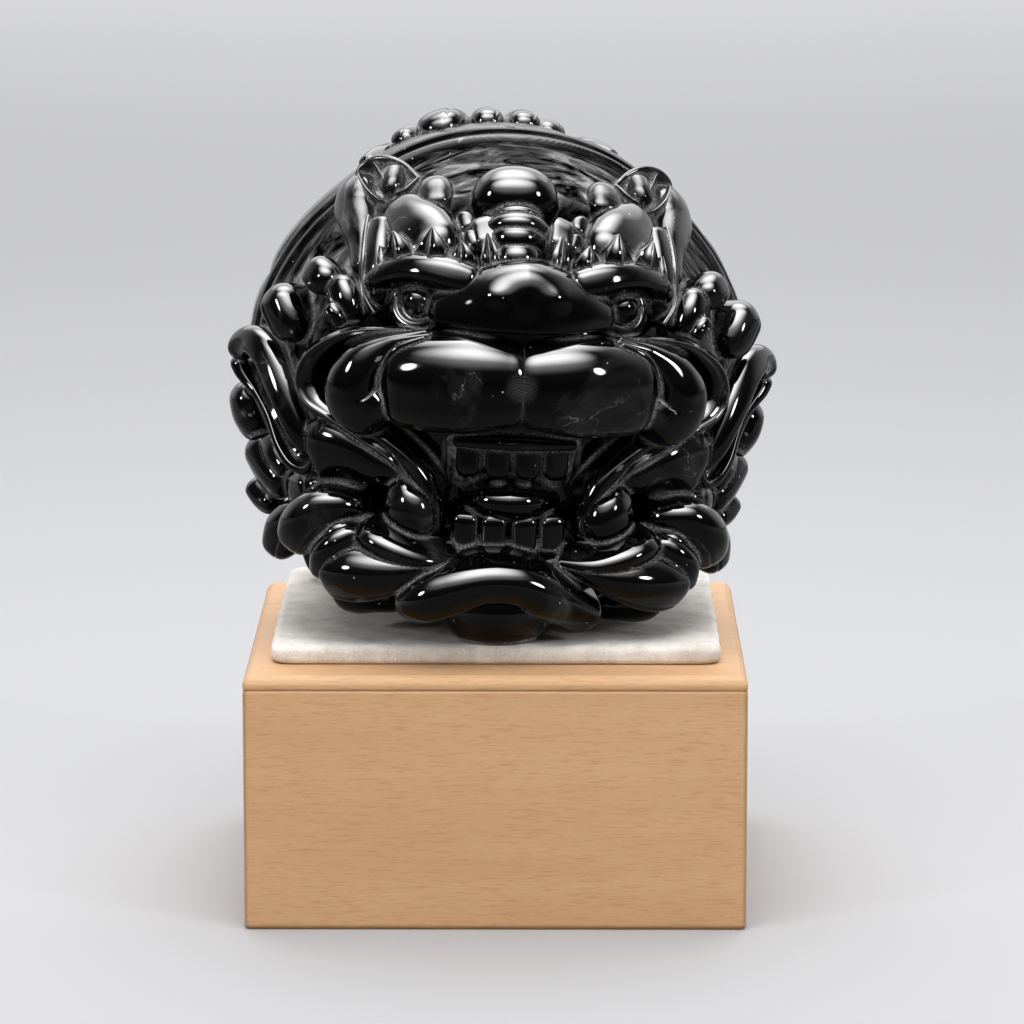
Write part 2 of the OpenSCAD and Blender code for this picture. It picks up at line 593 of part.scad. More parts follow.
module lower_lip() color(obsidian) carved("lower_lip");
module upper_teeth() color(obsidian) carved("upper_teeth");
module lower_teeth() color(obsidian) carved("lower_teeth");
module tongue() color(obsidian) carved("tongue");
module throat_pearl() color(obsidian) carved("throat_pearl");

box_front();
box_back();
box_left();
box_right();
box_floor();
lid_board();
lid_battens();
felt_pad();
shell();
head_core();
upper_lip();
nose();
forehead_crest();
left_lip_folds();
right_lip_folds();
left_brow();
right_brow();
left_cheek();
right_cheek();
left_temple();
right_temple();
left_horn();
right_horn();
left_whisker();
right_whisker();
beard();
left_beard();
right_beard();
left_mane();
right_mane();
plastron();
left_forefoot();
right_forefoot();
left_hindfoot();
right_hindfoot();
tail();
left_eye();
right_eye();
lower_lip();
upper_teeth();
lower_teeth();
tongue();
throat_pearl();
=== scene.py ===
import bpy
import math
import numpy as np
from mathutils import Euler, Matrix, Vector


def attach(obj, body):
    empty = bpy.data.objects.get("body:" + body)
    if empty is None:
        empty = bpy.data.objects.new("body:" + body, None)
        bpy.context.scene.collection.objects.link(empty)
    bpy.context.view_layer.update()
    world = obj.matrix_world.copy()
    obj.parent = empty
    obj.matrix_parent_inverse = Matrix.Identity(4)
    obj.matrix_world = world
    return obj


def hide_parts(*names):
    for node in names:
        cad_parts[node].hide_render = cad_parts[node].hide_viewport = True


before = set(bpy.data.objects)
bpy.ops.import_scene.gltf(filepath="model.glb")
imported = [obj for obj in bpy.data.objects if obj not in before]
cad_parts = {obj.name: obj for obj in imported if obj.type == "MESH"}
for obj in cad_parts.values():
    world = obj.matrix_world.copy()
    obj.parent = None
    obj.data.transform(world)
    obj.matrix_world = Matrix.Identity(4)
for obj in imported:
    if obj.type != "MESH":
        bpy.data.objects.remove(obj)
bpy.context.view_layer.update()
print("frame loaded:", len(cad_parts), "nodes")

scene = bpy.context.scene
scene.view_settings.view_transform = "Standard"
padTop = 61.2                                   # mm, where the stone rests
restGap = 0.03                                  # mm, kept under the stone's flat
ballMid = np.array([0.0, 3.0, 119.0])           # mm, middle of the stone ball
flowRadius = 55                                 # mm, where streaks round the ball are measured
ballTurn, ballLean = math.radians(6), math.radians(3)

# the photograph's camera: its place in metres, downward pitch, turn, and focal length in pixels of the frame
cameraSet = dict(place=(0.00974, -1.17889, 0.29572), pitch=0.1784, turn=0.0054, pixels=5289.7,
                 frame=1024, sensor=36)
camData = bpy.data.cameras.new("photoCamera")
camData.sensor_width = cameraSet["sensor"]
camData.lens = cameraSet["pixels"] * cameraSet["sensor"] / cameraSet["frame"]
camera = bpy.data.objects.new("photoCamera", camData)
camera.location = cameraSet["place"]
camera.rotation_euler = Euler((math.pi / 2 - cameraSet["pitch"], 0, cameraSet["turn"]))
scene.collection.objects.link(camera)
scene.camera = camera


def newMaterial(name):
    mat = bpy.data.materials.new(name)
    mat.use_nodes = True
    return mat, mat.node_tree, mat.node_tree.nodes["Principled BSDF"]


def addNode(tree, kind, **values):
    # a node with its properties and the defaults of its inputs set by name
    node = tree.nodes.new(kind)
    for key, value in values.items():
        if key in node.inputs:
            node.inputs[key].default_value = value
        else:
            setattr(node, key, value)
    return node


def link(source, target):
    # joins two sockets of the same node tree
    source.id_data.links.new(source, target)


def addRamp(tree, source, stops):
    # a colour ramp fed by a socket; stops are (position, colour)
    ramp = tree.nodes.new("ShaderNodeValToRGB")
    while len(ramp.color_ramp.elements) < len(stops):
        ramp.color_ramp.elements.new(0.5)
    for element, (position, colour) in zip(ramp.color_ramp.elements, stops):
        element.position = position
        element.color = colour
    link(source, ramp.inputs["Fac"])
    return ramp.outputs["Color"]


def addDepthRamp(tree, space, front, back, stops):
    # a colour ramp along y, from front to back, in one of the spaces of the texture coordinate
    split = addNode(tree, "ShaderNodeSeparateXYZ")
    link(addNode(tree, "ShaderNodeTexCoord").outputs[space], split.inputs["Vector"])
    span = addNode(tree, "ShaderNodeMapRange", **{"From Min": front, "From Max": back})
    link(split.outputs["Y"], span.inputs["Value"])
    return addRamp(tree, span.outputs["Result"], stops)


def addMix(tree, mask, under, over):
    # a fixed colour laid on the under one where the mask is 1; the node's colours are sockets 6, 7 and 2
    mix = addNode(tree, "ShaderNodeMix", data_type="RGBA")
    link(mask, mix.inputs[0])
    link(under, mix.inputs[6])
    mix.inputs[7].default_value = over
    return mix.outputs[2]


def grey(value):
    return (value, value, value, 1)


# soft panels: their middle, the point they face if not the stone, width and height in metres,
# radiance at the middle, and how fast it falls off towards the edge
stoneAim = (0, 0, 0.12)
lampSet = dict(
    key=dict(place=(0.0, -0.62, 0.9), size=(2.0, 1.4), radiance=1.6, fall=2.0),
    core=dict(place=(0.0, -0.4, 0.98), size=(1.6, 1.0), radiance=6.4, fall=2.0),
    crown=dict(place=(0.0, 0.2, 1.15), size=(1.5, 1.1), radiance=7.0, fall=2.0),
    back=dict(place=(0.0, 2.75, 2.0), aim=(0, 2.75, 0), size=(5.0, 4.5), radiance=1.9, fall=0.6),
    left=dict(place=(-0.9, -0.75, 0.55), size=(0.22, 0.32), radiance=36.0, fall=1.0),
    right=dict(place=(0.9, -0.75, 0.55), size=(0.22, 0.32), radiance=36.0, fall=1.0),
)
for lampName, lamp in lampSet.items():
    lampData = bpy.data.lights.new(lampName, "AREA")
    lampData.shape = "RECTANGLE"
    lampData.size, lampData.size_y = lamp["size"]
    lampData.energy = lamp["radiance"] * math.pi * lamp["size"][0] * lamp["size"][1]  # watts of an even panel
    lampData.use_nodes = True
    lampTree = lampData.node_tree
    across = addNode(lampTree, "ShaderNodeNewGeometry")
    # centred runs from -1 to 1 over the panel, and inside from 1 in the middle to 0 at the edge
    centred = addNode(lampTree, "ShaderNodeVectorMath", operation="MULTIPLY_ADD")
    centred.inputs[1].default_value, centred.inputs[2].default_value = (2, 2, 0), (-1, -1, 0)
    link(across.outputs["Parametric"], centred.inputs[0])
    square = addNode(lampTree, "ShaderNodeVectorMath", operation="DOT_PRODUCT")
    link(centred.outputs["Vector"], square.inputs[0])
    link(centred.outputs["Vector"], square.inputs[1])
    inside = addNode(lampTree, "ShaderNodeMath", operation="SUBTRACT", use_clamp=True)
    inside.inputs[0].default_value = 1
    link(square.outputs["Value"], inside.inputs[1])
    soften = addNode(lampTree, "ShaderNodeMath", operation="POWER")
    soften.inputs[1].default_value = lamp["fall"]
    link(inside.outputs[0], soften.inputs[0])
    link(soften.outputs[0], lampTree.nodes["Emission"].inputs["Strength"])
    lampObject = bpy.data.objects.new(lampName, lampData)
    lampObject.location = lamp["place"]
    aim = Vector(lamp.get("aim", stoneAim)) - Vector(lamp["place"])
    lampObject.rotation_euler = aim.to_track_quat("-Z", "Y").to_euler()
    scene.collection.objects.link(lampObject)

# the room: dark behind the camera, pale behind the object, so that every rim catches a light edge
roomSet = dict(stops=[(0.42, 0.03), (0.85, 0.75)], cool=1.02)
world = bpy.data.worlds.new("studio")
world.use_nodes = True
room = world.node_tree
roomStops = [(position, (tone, tone, tone * roomSet["cool"], 1)) for position, tone in roomSet["stops"]]
roomTone = addDepthRamp(room, "Generated", -1, 1, roomStops)
roomTone.node.color_ramp.interpolation = "EASE"
link(roomTone, room.nodes["Background"].inputs["Color"])
scene.world = world
print("camera and lamps set")

# pale paper, painted near-black towards the front as painted shade so the stone's undersides reflect
# darkness:
# its tone from front to back (y in metres), over a span that holds them all
floorSet = dict(tonesWithPaintedShade=[(-0.7, 0.06), (-0.3, 0.22), (-0.135, 0.38), (0.6, 0.43), (2.4, 0.6)], span=(-1.0, 3.0),
                tint=(0.99, 0.993, 1.02), half=14.0, rough=0.9, shine=0.1)
floorMesh = bpy.data.meshes.new("floor")
reach = floorSet["half"]
floorCorners = [(-reach, -reach, 0), (reach, -reach, 0), (reach, reach, 0), (-reach, reach, 0)]
floorMesh.from_pydata(floorCorners, [], [(0, 1, 2, 3)])
floorObject = bpy.data.objects.new("floor", floorMesh)
scene.collection.objects.link(floorObject)
floorMat, floorTree, floorShader = newMaterial("paperWithPaintedShade")
floorShader.inputs["Roughness"].default_value = floorSet["rough"]
floorShader.inputs["Specular IOR Level"].default_value = floorSet["shine"]
floorFront, floorBack = floorSet["span"]
floorStops = [((y - floorFront) / (floorBack - floorFront), (*(tone * c for c in floorSet["tint"]), 1))
              for y, tone in floorSet["tonesWithPaintedShade"]]
# the dark tones at the front are painted shade
floorToneWithShade = addDepthRamp(floorTree, "Object", floorFront, floorBack, floorStops)
link(floorToneWithShade, floorShader.inputs["Base Color"])
floorMesh.materials.append(floorMat)
print("floor laid")


def unit(v):
    return v / np.maximum(np.linalg.norm(v, axis=-1, keepdims=True), 1e-9)


def climb(value, over):
    # 0 to 1 as the value goes from 0 to over
    return np.clip(value / over, 0, 1)


def bell(value, half, power=2):
    # 1 at 0, falling to both sides
    return np.exp(-(value / half) ** power)


def smoothRows(rows, t):
    # curve through every row (x, y, z, half width, half height), t from 0 to 1 over all rows
    rows = np.asarray(rows, float)
    last = len(rows) - 1
    u = np.clip(t, 0, 1) * last
    i = np.minimum(u.astype(int), last - 1)
    f = (u - i)[:, None]
    a, b, c, d = rows[np.maximum(i - 1, 0)], rows[i], rows[i + 1], rows[np.minimum(i + 2, last)]
    return (2 * b + (c - a) * f + (2 * a - 5 * b + 4 * c - d) * f ** 2 + (3 * b - a - 3 * c + d) * f ** 3) / 2


# cross-sections: across and up for an angle round the lock, as shares of its half width and half height
def softRound(a, t, power=0.86, under=0.22):
    # full above, drawn in below its widest line
    c, s = np.cos(a), np.sin(a)
    drawn = np.where(s < 0, 1 - under * np.sqrt(np.abs(s)), 1)
    return np.sign(c) * np.abs(c) ** power * drawn, np.sign(s) * np.abs(s) ** power


def grooved(a, t, deep=0.14, place=-0.48, half=0.07, fadeIn=0.2, fadeOut=0.3):
    # the same, with a fine line cut along one shoulder that fades towards both ends
    across, up = softRound(a, t)
    fade = climb(t, fadeIn) * climb(1 - t, fadeOut)
    return across, up - deep * bell(across - place, half) * fade * (up > 0)


def ridged(a, t, body=0.86, rise=0.16, half=0.16):
    # round, with a low crisp ridge along its top
    c, s = np.cos(a), np.sin(a)
    return c, s * body + rise * bell(c, half) * (s > 0)


def flame(a, t, steep=2.6, edge=0.3, half=0.3):
    # a crisp middle ridge with a hollow face falling to a thin edge on each side
    c, s = np.cos(a), np.sin(a)
    face = np.minimum(np.abs(s) * steep, 1) * (edge + (1 - edge) * np.exp(-np.abs(c) / half))
    return c, np.where(s > 0, face, s)


def cupped(a, t, steep=1.9, deep=1.05, half=0.74):
    # a hollow between two thin raised edges
    c, s = np.cos(a), np.sin(a)
    return c, np.where(s > 0, np.minimum(np.abs(s) * steep, 1) - deep * bell(c, half, power=6), s)


def blocky(a, t):
    return softRound(a, t, power=0.5, under=0)


def halfEllipse(run, cap):
    # the rounded end of a lock: 0 at its tip, 1 from the length of the cap on
    return np.sqrt(1 - (1 - climb(run, cap)) ** 2)


def sweepLock(rows, section=softRound, around=64, along=64, root=3.0, outward=None, reach=0.75, heavy=0.8):
    # each ring is the section laid across the path, its height pointing away from the ball's middle or along
    # outward; the ends close as half ellipses within their own half width, the tip about the last row,
    # and the side that faces down is squared off by heavy
    nudge, leastCap, longestCap, squarePower, downGain = 2e-3, 0.3, 0.45, 4, 2
    rows = np.array(rows, float)
    rows[-1, :3] += unit(rows[-1, :3] - rows[-2, :3]) * rows[-1, 3] * reach
    s = np.linspace(0, 1, along + 2)[1:-1]
    t = (1 - np.cos(np.pi * s)) / 2
    v = smoothRows(rows, t)
    p, w, h = v[:, :3], v[:, 3], v[:, 4]
    tangent = unit(smoothRows(rows, t + nudge)[:, :3] - smoothRows(rows, t - nudge)[:, :3])
    out = unit(p) if outward is None else np.broadcast_to(unit(np.asarray(outward, float)), p.shape)
    side = unit(np.cross(tangent, out))
    lift = np.cross(side, tangent)
    ends = smoothRows(rows, np.array([0.0, 1.0]))
    chain = np.vstack([ends[:1, :3], p, ends[1:, :3]])
    run = np.concatenate([[0], np.cumsum(np.linalg.norm(np.diff(chain, axis=0), axis=1))])
    whole, d = run[-1], run[1:-1]
    capA, capB = (min(max(half, leastCap), longestCap * whole) for half in ends[:, 3])
    closing = halfEllipse(d, capA) * halfEllipse(whole - d, capB)
    angle = 2 * np.pi * (np.arange(around) + 0.5) / around
    cx, cz = section(angle[None, :], t[:, None])
    cx, cz = np.broadcast_to(cx, (along, around)), np.broadcast_to(cz, (along, around))
    squared = np.maximum(1 - np.abs(cx) ** squarePower, 0) ** (1 / squarePower)
    weight = heavy * np.clip(-downGain * side[:, 2:] * cx, 0, 1) * (cz > 0)
    cz = cz + weight * (squared - cz)
    tall = np.where(cz < 0, h[:, None] + root, h[:, None])
    offset = side[:, None] * (w[:, None] * cx)[..., None] + lift[:, None] * (tall * cz)[..., None]
    grid = p[:, None] + closing[:, None, None] * offset
    flow = np.stack([np.broadcast_to(d[:, None], cx.shape), cx * w[:, None] + rows[0, 0],
                     np.full(cx.shape, rows[0, 2])], -1)
    return dict(grid=grid, poles=ends[:, :3], flow=flow)


def sweepLocks(locks, *section, **values):
    return [sweepLock(rows, *section, **values) for rows in locks]


def ovalSurface(mid, half, around=64, along=40, relief=None):
    # an ellipsoid on rings about the upright axis, its radius changed by relief(points) in mm
    lat = np.pi * (np.arange(along) + 1) / (along + 1) - np.pi / 2
    lon = 2 * np.pi * np.arange(around) / around
    d = np.stack([np.cos(lat)[:, None] * np.cos(lon), np.cos(lat)[:, None] * np.sin(lon),
                  np.repeat(np.sin(lat)[:, None], around, 1)], -1)
    grid = np.asarray(mid) + d * np.asarray(half)
    if relief is not None:
        grid = grid + d * relief(grid)[..., None]
    poles = np.asarray(mid) + np.array([[0, 0, -1.0], [0, 0, 1.0]]) * np.asarray(half)
    turn = flowRadius * np.arctan2(grid[..., 0], grid[..., 2] + 1e-6)
    flow = np.stack([turn, grid[..., 1], np.zeros(grid.shape[:2])], -1)
    return dict(grid=grid, poles=poles, flow=flow)


def flipped(surface, shift=37.0):
    # the same surface on the other side of the middle plane, with its streaks taken from elsewhere
    mirror = np.array([-1.0, 1.0, 1.0])
    return dict(grid=surface["grid"] * mirror, poles=surface["poles"] * mirror, flow=surface["flow"] + shift)


turnCos, turnSin = math.cos(ballTurn), math.sin(ballTurn)
leanCos, leanSin = math.cos(ballLean), math.sin(ballLean)
turnMatrix = np.array([[turnCos, -turnSin, 0], [turnSin, turnCos, 0], [0, 0, 1]])
leanTurn = turnMatrix @ np.array([[leanCos, 0, leanSin], [0, 1, 0], [-leanSin, 0, leanCos]])


def placeStone(points):
    # from millimetres about the ball's middle to metres over the pad, cut flat where it rests
    placed = points @ leanTurn.T + ballMid
    placed[:, 2] = np.maximum(placed[:, 2], padTop + restGap)
    return placed / 1000


def closedMesh(name, surfaces, place=placeStone):
    # joins closed grids (rings with a point at each end) into one mesh with its faces outwards;
    # flow runs along and across each grid, in mm
    points, quads, tris, flows, start = [], [], [], [], 0
    for s in surfaces:
        rings, around = s["grid"].shape[:2]
        flat = s["grid"].reshape(-1, 3)
        k = np.arange(rings * around).reshape(rings, around)
        a, b = k[:-1], np.roll(k[:-1], -1, 1)
        c, d = np.roll(k[1:], -1, 1), k[1:]
        quad = np.stack([a, b, c, d], -1).reshape(-1, 4)
        lowPole, highPole = rings * around, rings * around + 1
        first = np.stack([np.full(around, lowPole), np.roll(k[0], -1), k[0]], -1)
        final = np.stack([np.full(around, highPole), k[-1], np.roll(k[-1], -1)], -1)
        tri = np.vstack([first, final])
        everyPoint = np.vstack([flat, s["poles"]])
        whole = np.vstack([quad[:, [0, 1, 2]], quad[:, [0, 2, 3]], tri])
        corner = everyPoint[whole] - everyPoint.mean(0)
        if np.einsum("ij,ij->i", corner[:, 0], np.cross(corner[:, 1], corner[:, 2])).sum() < 0:
            quad, tri = quad[:, ::-1], tri[:, ::-1]
        points.append(everyPoint)
        quads.append(quad + start)
        tris.append(tri + start)
        flows.append(np.vstack([s["flow"].reshape(-1, 3), s["flow"][0].mean(0), s["flow"][-1].mean(0)]))
        start += len(everyPoint)
    co = place(np.vstack(points))
    faces = np.vstack(quads).tolist() + np.vstack(tris).tolist()
    mesh = bpy.data.meshes.new(name)
    mesh.from_pydata(co.tolist(), [], faces)
    mesh.polygons.foreach_set("use_smooth", np.ones(len(mesh.polygons), bool))
    attribute = mesh.attributes.new("flow", "FLOAT_VECTOR", "POINT")
    attribute.data.foreach_set("vector", np.vstack(flows).astype(np.float32).ravel())
    mesh.update()
    obj = bpy.data.objects.new(name, mesh)
    scene.collection.objects.link(obj)
    return obj


# black volcanic glass: near-black with smoky bands and hairline veins, satin where the polish thins and there
# clouded grey, partly the stone's smoke and partly a painted sheen; dust in the creases lightened further as
# painted glints, sharp edges lightened as wear and painted highlights; the polish goes from low to high as a
# face turns up, from polishFrom over polishSpan
stoneSet = dict(black=0.0013, smoke=0.04, vein=0.16, creaseDustAndGlint=0.42, cloudAndPaintedSheen=0.3, speck=0.5, edgeWearAndHighlight=0.2,
                rough=0.035, smudge=0.13, satin=0.16, ior=1.7, crease=0.0017, speckScale=330.0,
                streakStretch=(0.045, 0.16, 1.0), streakDeep=0.003, streakBump=0.1,
                polish=(0.06, 1.0), polishFrom=-0.12, polishSpan=0.62)
grainSet = dict(smoke=dict(Scale=24.0, Detail=7.0, Roughness=0.6, Distortion=2.2),
                streak=dict(Scale=1.0, Detail=8.0, Roughness=0.62, Distortion=2.0),
                vein=dict(Scale=38.0, Detail=5.0, Roughness=0.55, Distortion=1.2),
                creaseDustAndGlint=dict(Scale=2200.0, Detail=4.0, Roughness=0.7),
                waver=dict(Scale=420.0, Detail=3.0),
                smudge=dict(Scale=70.0, Detail=8.0, Roughness=0.65, Distortion=0.8))
# a finger mark left on the lip: wavering arcs about the whorl, inside a soft spot
printSet = dict(whorl=(-0.6, -60.5, -1.6), spot=(-0.6, -60.5, 1.4), reach=0.0046,
                ridge=0.00055, tone=0.055, waver=0.0013)
stoneMat, stoneTree, stoneShader = newMaterial("blackGlassStone")
stoneShader.inputs["IOR"].default_value = stoneSet["ior"]
stoneCoord = addNode(stoneTree, "ShaderNodeTexCoord").outputs["Object"]
flowCoord = addNode(stoneTree, "ShaderNodeAttribute", attribute_name="flow").outputs["Vector"]
satinMask, smokySheenMask, polishMask = (
    addNode(stoneTree, "ShaderNodeAttribute", attribute_name=label).outputs["Fac"]
    for label in ("satin", "smokySheen", "polish"))
link(polishMask, stoneShader.inputs["Specular IOR Level"])


def stoneNoise(vector, grain):
    noise = addNode(stoneTree, "ShaderNodeTexNoise", **grainSet[grain])
    link(vector, noise.inputs["Vector"])
    return noise.outputs["Fac"]


def stoneRamp(source, *stops):
    # a ramp of grey tones; stops are (position, tone)
    return addRamp(stoneTree, source, [(position, grey(tone)) for position, tone in stops])


def stoneMath(operation, first, second):
    # one step of arithmetic on a socket and a socket or number
    step = addNode(stoneTree, "ShaderNodeMath", operation=operation)
    link(first, step.inputs[0])
    if isinstance(second, (int, float)):
        step.inputs[1].default_value = second
    else:
        link(second, step.inputs[1])
    return step.outputs[0]


def stoneBlend(mask, under, tone):
    return addMix(stoneTree, mask, under, grey(tone))


smokeNoise = stoneNoise(stoneCoord, "smoke")
black, smoke = stoneSet["black"], stoneSet["smoke"]
smoked = stoneRamp(smokeNoise, (0.54, black), (0.64, smoke * 0.35), (0.7, smoke), (0.78, black))
streakMap = addNode(stoneTree, "ShaderNodeMapping", Scale=stoneSet["streakStretch"])
link(flowCoord, streakMap.inputs["Vector"])
streak = stoneNoise(streakMap.outputs["Vector"], "streak")
# the grey cloud is partly smoky clouding in the stone and partly a painted sheen, laid where the stone is
# satin
cloudAndPaintedSheen = stoneRamp(streak, (0.43, 0), (0.55, 0.25), (0.65, 1), (0.71, 0.15))
smoked = stoneBlend(stoneMath("MULTIPLY", cloudAndPaintedSheen, smokySheenMask), smoked, stoneSet["cloudAndPaintedSheen"])
veinLine = stoneRamp(stoneNoise(stoneCoord, "vein"), (0.493, 0), (0.5, 0.8), (0.507, 0))
veinPatch = stoneRamp(smokeNoise, (0.56, 0), (0.66, 1))
veined = stoneBlend(stoneMath("MULTIPLY", veinLine, veinPatch), smoked, stoneSet["vein"])
# dust in the creases, made pale enough to also stand as painted glints along the crease edges
creases = addNode(stoneTree, "ShaderNodeAmbientOcclusion", samples=10, Distance=stoneSet["crease"])
creaseDustAndGlintGrain = stoneRamp(stoneNoise(stoneCoord, "creaseDustAndGlint"), (0.4, 0.05), (0.6, 1))
creaseDustAndGlintLine = stoneRamp(creases.outputs["AO"], (0.5, 1), (0.82, 0))
dustedAndGlinted = stoneBlend(stoneMath("MULTIPLY", creaseDustAndGlintLine, creaseDustAndGlintGrain), veined, stoneSet["creaseDustAndGlint"])
speckCell = addNode(stoneTree, "ShaderNodeTexVoronoi", Scale=stoneSet["speckScale"])
link(stoneCoord, speckCell.inputs["Vector"])
speckDot = stoneRamp(speckCell.outputs["Distance"], (0.04, 1), (0.07, 0))
speckFew = stoneRamp(speckCell.outputs["Color"], (0.62, 0), (0.66, 1))
# sharp convex edges lightened, partly wear and partly painted highlights along the ridges
edges = addNode(stoneTree, "ShaderNodeNewGeometry").outputs["Pointiness"]
wornAndHighlighted = stoneBlend(stoneRamp(edges, (0.53, 0), (0.6, 0.8)), dustedAndGlinted, stoneSet["edgeWearAndHighlight"])
specked = stoneBlend(stoneMath("MULTIPLY", speckDot, speckFew), wornAndHighlighted, stoneSet["speck"])
printWaver = stoneMath("MULTIPLY", stoneNoise(stoneCoord, "waver"), printSet["waver"])


def stoneAway(place):
    # wavering distance in metres from a place given about the ball's middle
    away = addNode(stoneTree, "ShaderNodeVectorMath", operation="DISTANCE")
    link(stoneCoord, away.inputs[0])
    away.inputs[1].default_value = placeStone(np.array([place]))[0]
    return stoneMath("ADD", away.outputs["Value"], printWaver)


printTurn = stoneMath("MULTIPLY", stoneAway(printSet["whorl"]), 2 * math.pi / printSet["ridge"])
printWave = stoneRamp(stoneMath("SINE", printTurn, 0), (0, 0.25), (0.6, 1))
printAway = stoneMath("DIVIDE", stoneAway(printSet["spot"]), printSet["reach"])
printSpot = stoneRamp(printAway, (0.45, 0.9), (1, 0))
marked = stoneBlend(stoneMath("MULTIPLY", printSpot, printWave), specked, printSet["tone"])
link(marked, stoneShader.inputs["Base Color"])
smudge = stoneRamp(stoneNoise(stoneCoord, "smudge"), (0.5, stoneSet["rough"]), (0.78, stoneSet["smudge"]))
satinStreak = stoneMath("MULTIPLY", satinMask, stoneRamp(streak, (0.35, 0.25), (0.6, 1)))
satinRough = stoneMath("MULTIPLY", satinStreak, stoneSet["satin"])
link(stoneMath("ADD", smudge, satinRough), stoneShader.inputs["Roughness"])
streakBump = addNode(stoneTree, "ShaderNodeBump", Distance=stoneSet["streakDeep"])
link(streak, streakBump.inputs["Height"])
link(stoneMath("MULTIPLY", satinMask, stoneSet["streakBump"]), streakBump.inputs["Strength"])
link(streakBump.outputs["Normal"], stoneShader.inputs["Normal"])


def stonePiece(name, nodes, surfaces, satin=0.0, smokySheen=None):
    # satin is one share for the whole piece, or worked out for each point from its place about the ball's
    # middle, and smokySheen, the stone's smoky clouding together with a painted sheen laid on as grey tone,
    # follows it unless it is worked out too; the polish is high on faces that look up, low underneath and
    # where the stone is satin
    obj = closedMesh(name, surfaces)
    points = np.vstack([np.vstack([s["grid"].reshape(-1, 3), s["poles"]]) for s in surfaces])
    share = satin(points) if callable(satin) else np.full(len(points), satin)
    cloudyWithSheen = smokySheen(points) if callable(smokySheen) else share
    normal = np.empty(len(points) * 3, np.float32)
    obj.data.vertex_normals.foreach_get("vector", normal)
    rise = climb(normal.reshape(-1, 3)[:, 2] - stoneSet["polishFrom"], stoneSet["polishSpan"])
    low, high = stoneSet["polish"]
    polish = (low + (high - low) * rise * rise * (3 - 2 * rise)) * (1 - share)
    for label, values in dict(satin=share, smokySheen=cloudyWithSheen, polish=polish).items():
        attribute = obj.data.attributes.new(label, "FLOAT", "POINT")
        attribute.data.foreach_set("value", values.astype(np.float32))
    obj.data.materials.append(stoneMat)
    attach(obj, "carving")
    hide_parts(*nodes)


def stonePair(part, surfaces, satin=0.0):
    # a carved region and its mirror image
    stonePiece(part + "Left", ["left_" + part], surfaces, satin)
    stonePiece(part + "Right", ["right_" + part], [flipped(s) for s in surfaces], satin)


# the shell: a dome with a collar over the neck, a lower rim and crowned scutes; plan radius 1 is that rim,
# a fade is the length over which a form comes in, and satin and smokySheen are shares at places along y;
# smokySheen is the stone's smoky clouding together with a painted sheen
shellSet = dict(
    half=(55.2, 55.5, 51.2), rimDrop=105, spineV=(-0.03, 0.17, 0.35, 0.53, 0.71), spineU=(0.11, 0.16),
    flankR=0.7, flankTurn=(97, 74, 52, 31, 12), edgeR=(0.73, 0.96), edgeTurn=(8, 31, 54, 77, 100),
    crown=0.8, crownReach=3.2, crownPower=1.5, groove=0.4, grooveHalf=0.5, planScale=100,
    scuteBehind=4.5, scuteAbove=2.0, scuteFade=(3.0, 1.0),
    collarY=-9.0, collarHalf=4.2, collarRise=0.8, collarZ=-20, collarFade=6,
    beadAway=3.4, beadHalf=0.55, beadRise=0.4, beadGloss=0.6, beadGlossHalf=0.6,
    rimZ=-15.0, rimHalf=2.4, rimRise=2.0, rimY=-6, rimFade=4,
    hollowMid=(0, -60, -3), hollowHalf=(55, 46.2, 52.5), hollowSink=9.0, hollowFade=0.06,
    shoulderX=38, shoulderHalf=13, shoulderEase=1.4, shoulderZ=8, shoulderFade=12,
    satin=([-4, 0, 25], [1, 0.65, 0.3]),
    smokySheen=([-34, -17, -14, -5, 0, 25], [1.3, 0.5, 0.08, 0.08, 0.55, 0.3]),
)


def polar(r, degrees):
    a = math.radians(degrees)
    return (r * math.sin(a), r * math.cos(a))


def scuteLines():
    # outlines of the scutes on the plan, as pairs of points
    lines = []
    v, (u0, u1) = shellSet["spineV"], shellSet["spineU"]
    mids = [(a + b) / 2 for a, b in zip(v, v[1:])]
    for i, mid in enumerate(mids):
        ring = [(-u0, v[i]), (u0, v[i]), (u1, mid), (u0, v[i + 1]), (-u0, v[i + 1]), (-u1, mid)]
        lines += list(zip(ring, ring[1:] + ring[:1]))
    for sign in (-1, 1):
        flank = [polar(shellSet["flankR"], sign * a) for a in shellSet["flankTurn"]]
        inner = [(sign * u1, v[0])] + [(sign * u1, mid) for mid in mids]
        lines += list(zip(inner, flank)) + list(zip(flank, flank[1:]))
        lines += [tuple(polar(r, sign * a) for r in shellSet["edgeR"]) for a in shellSet["edgeTurn"]]
    return np.array(lines)


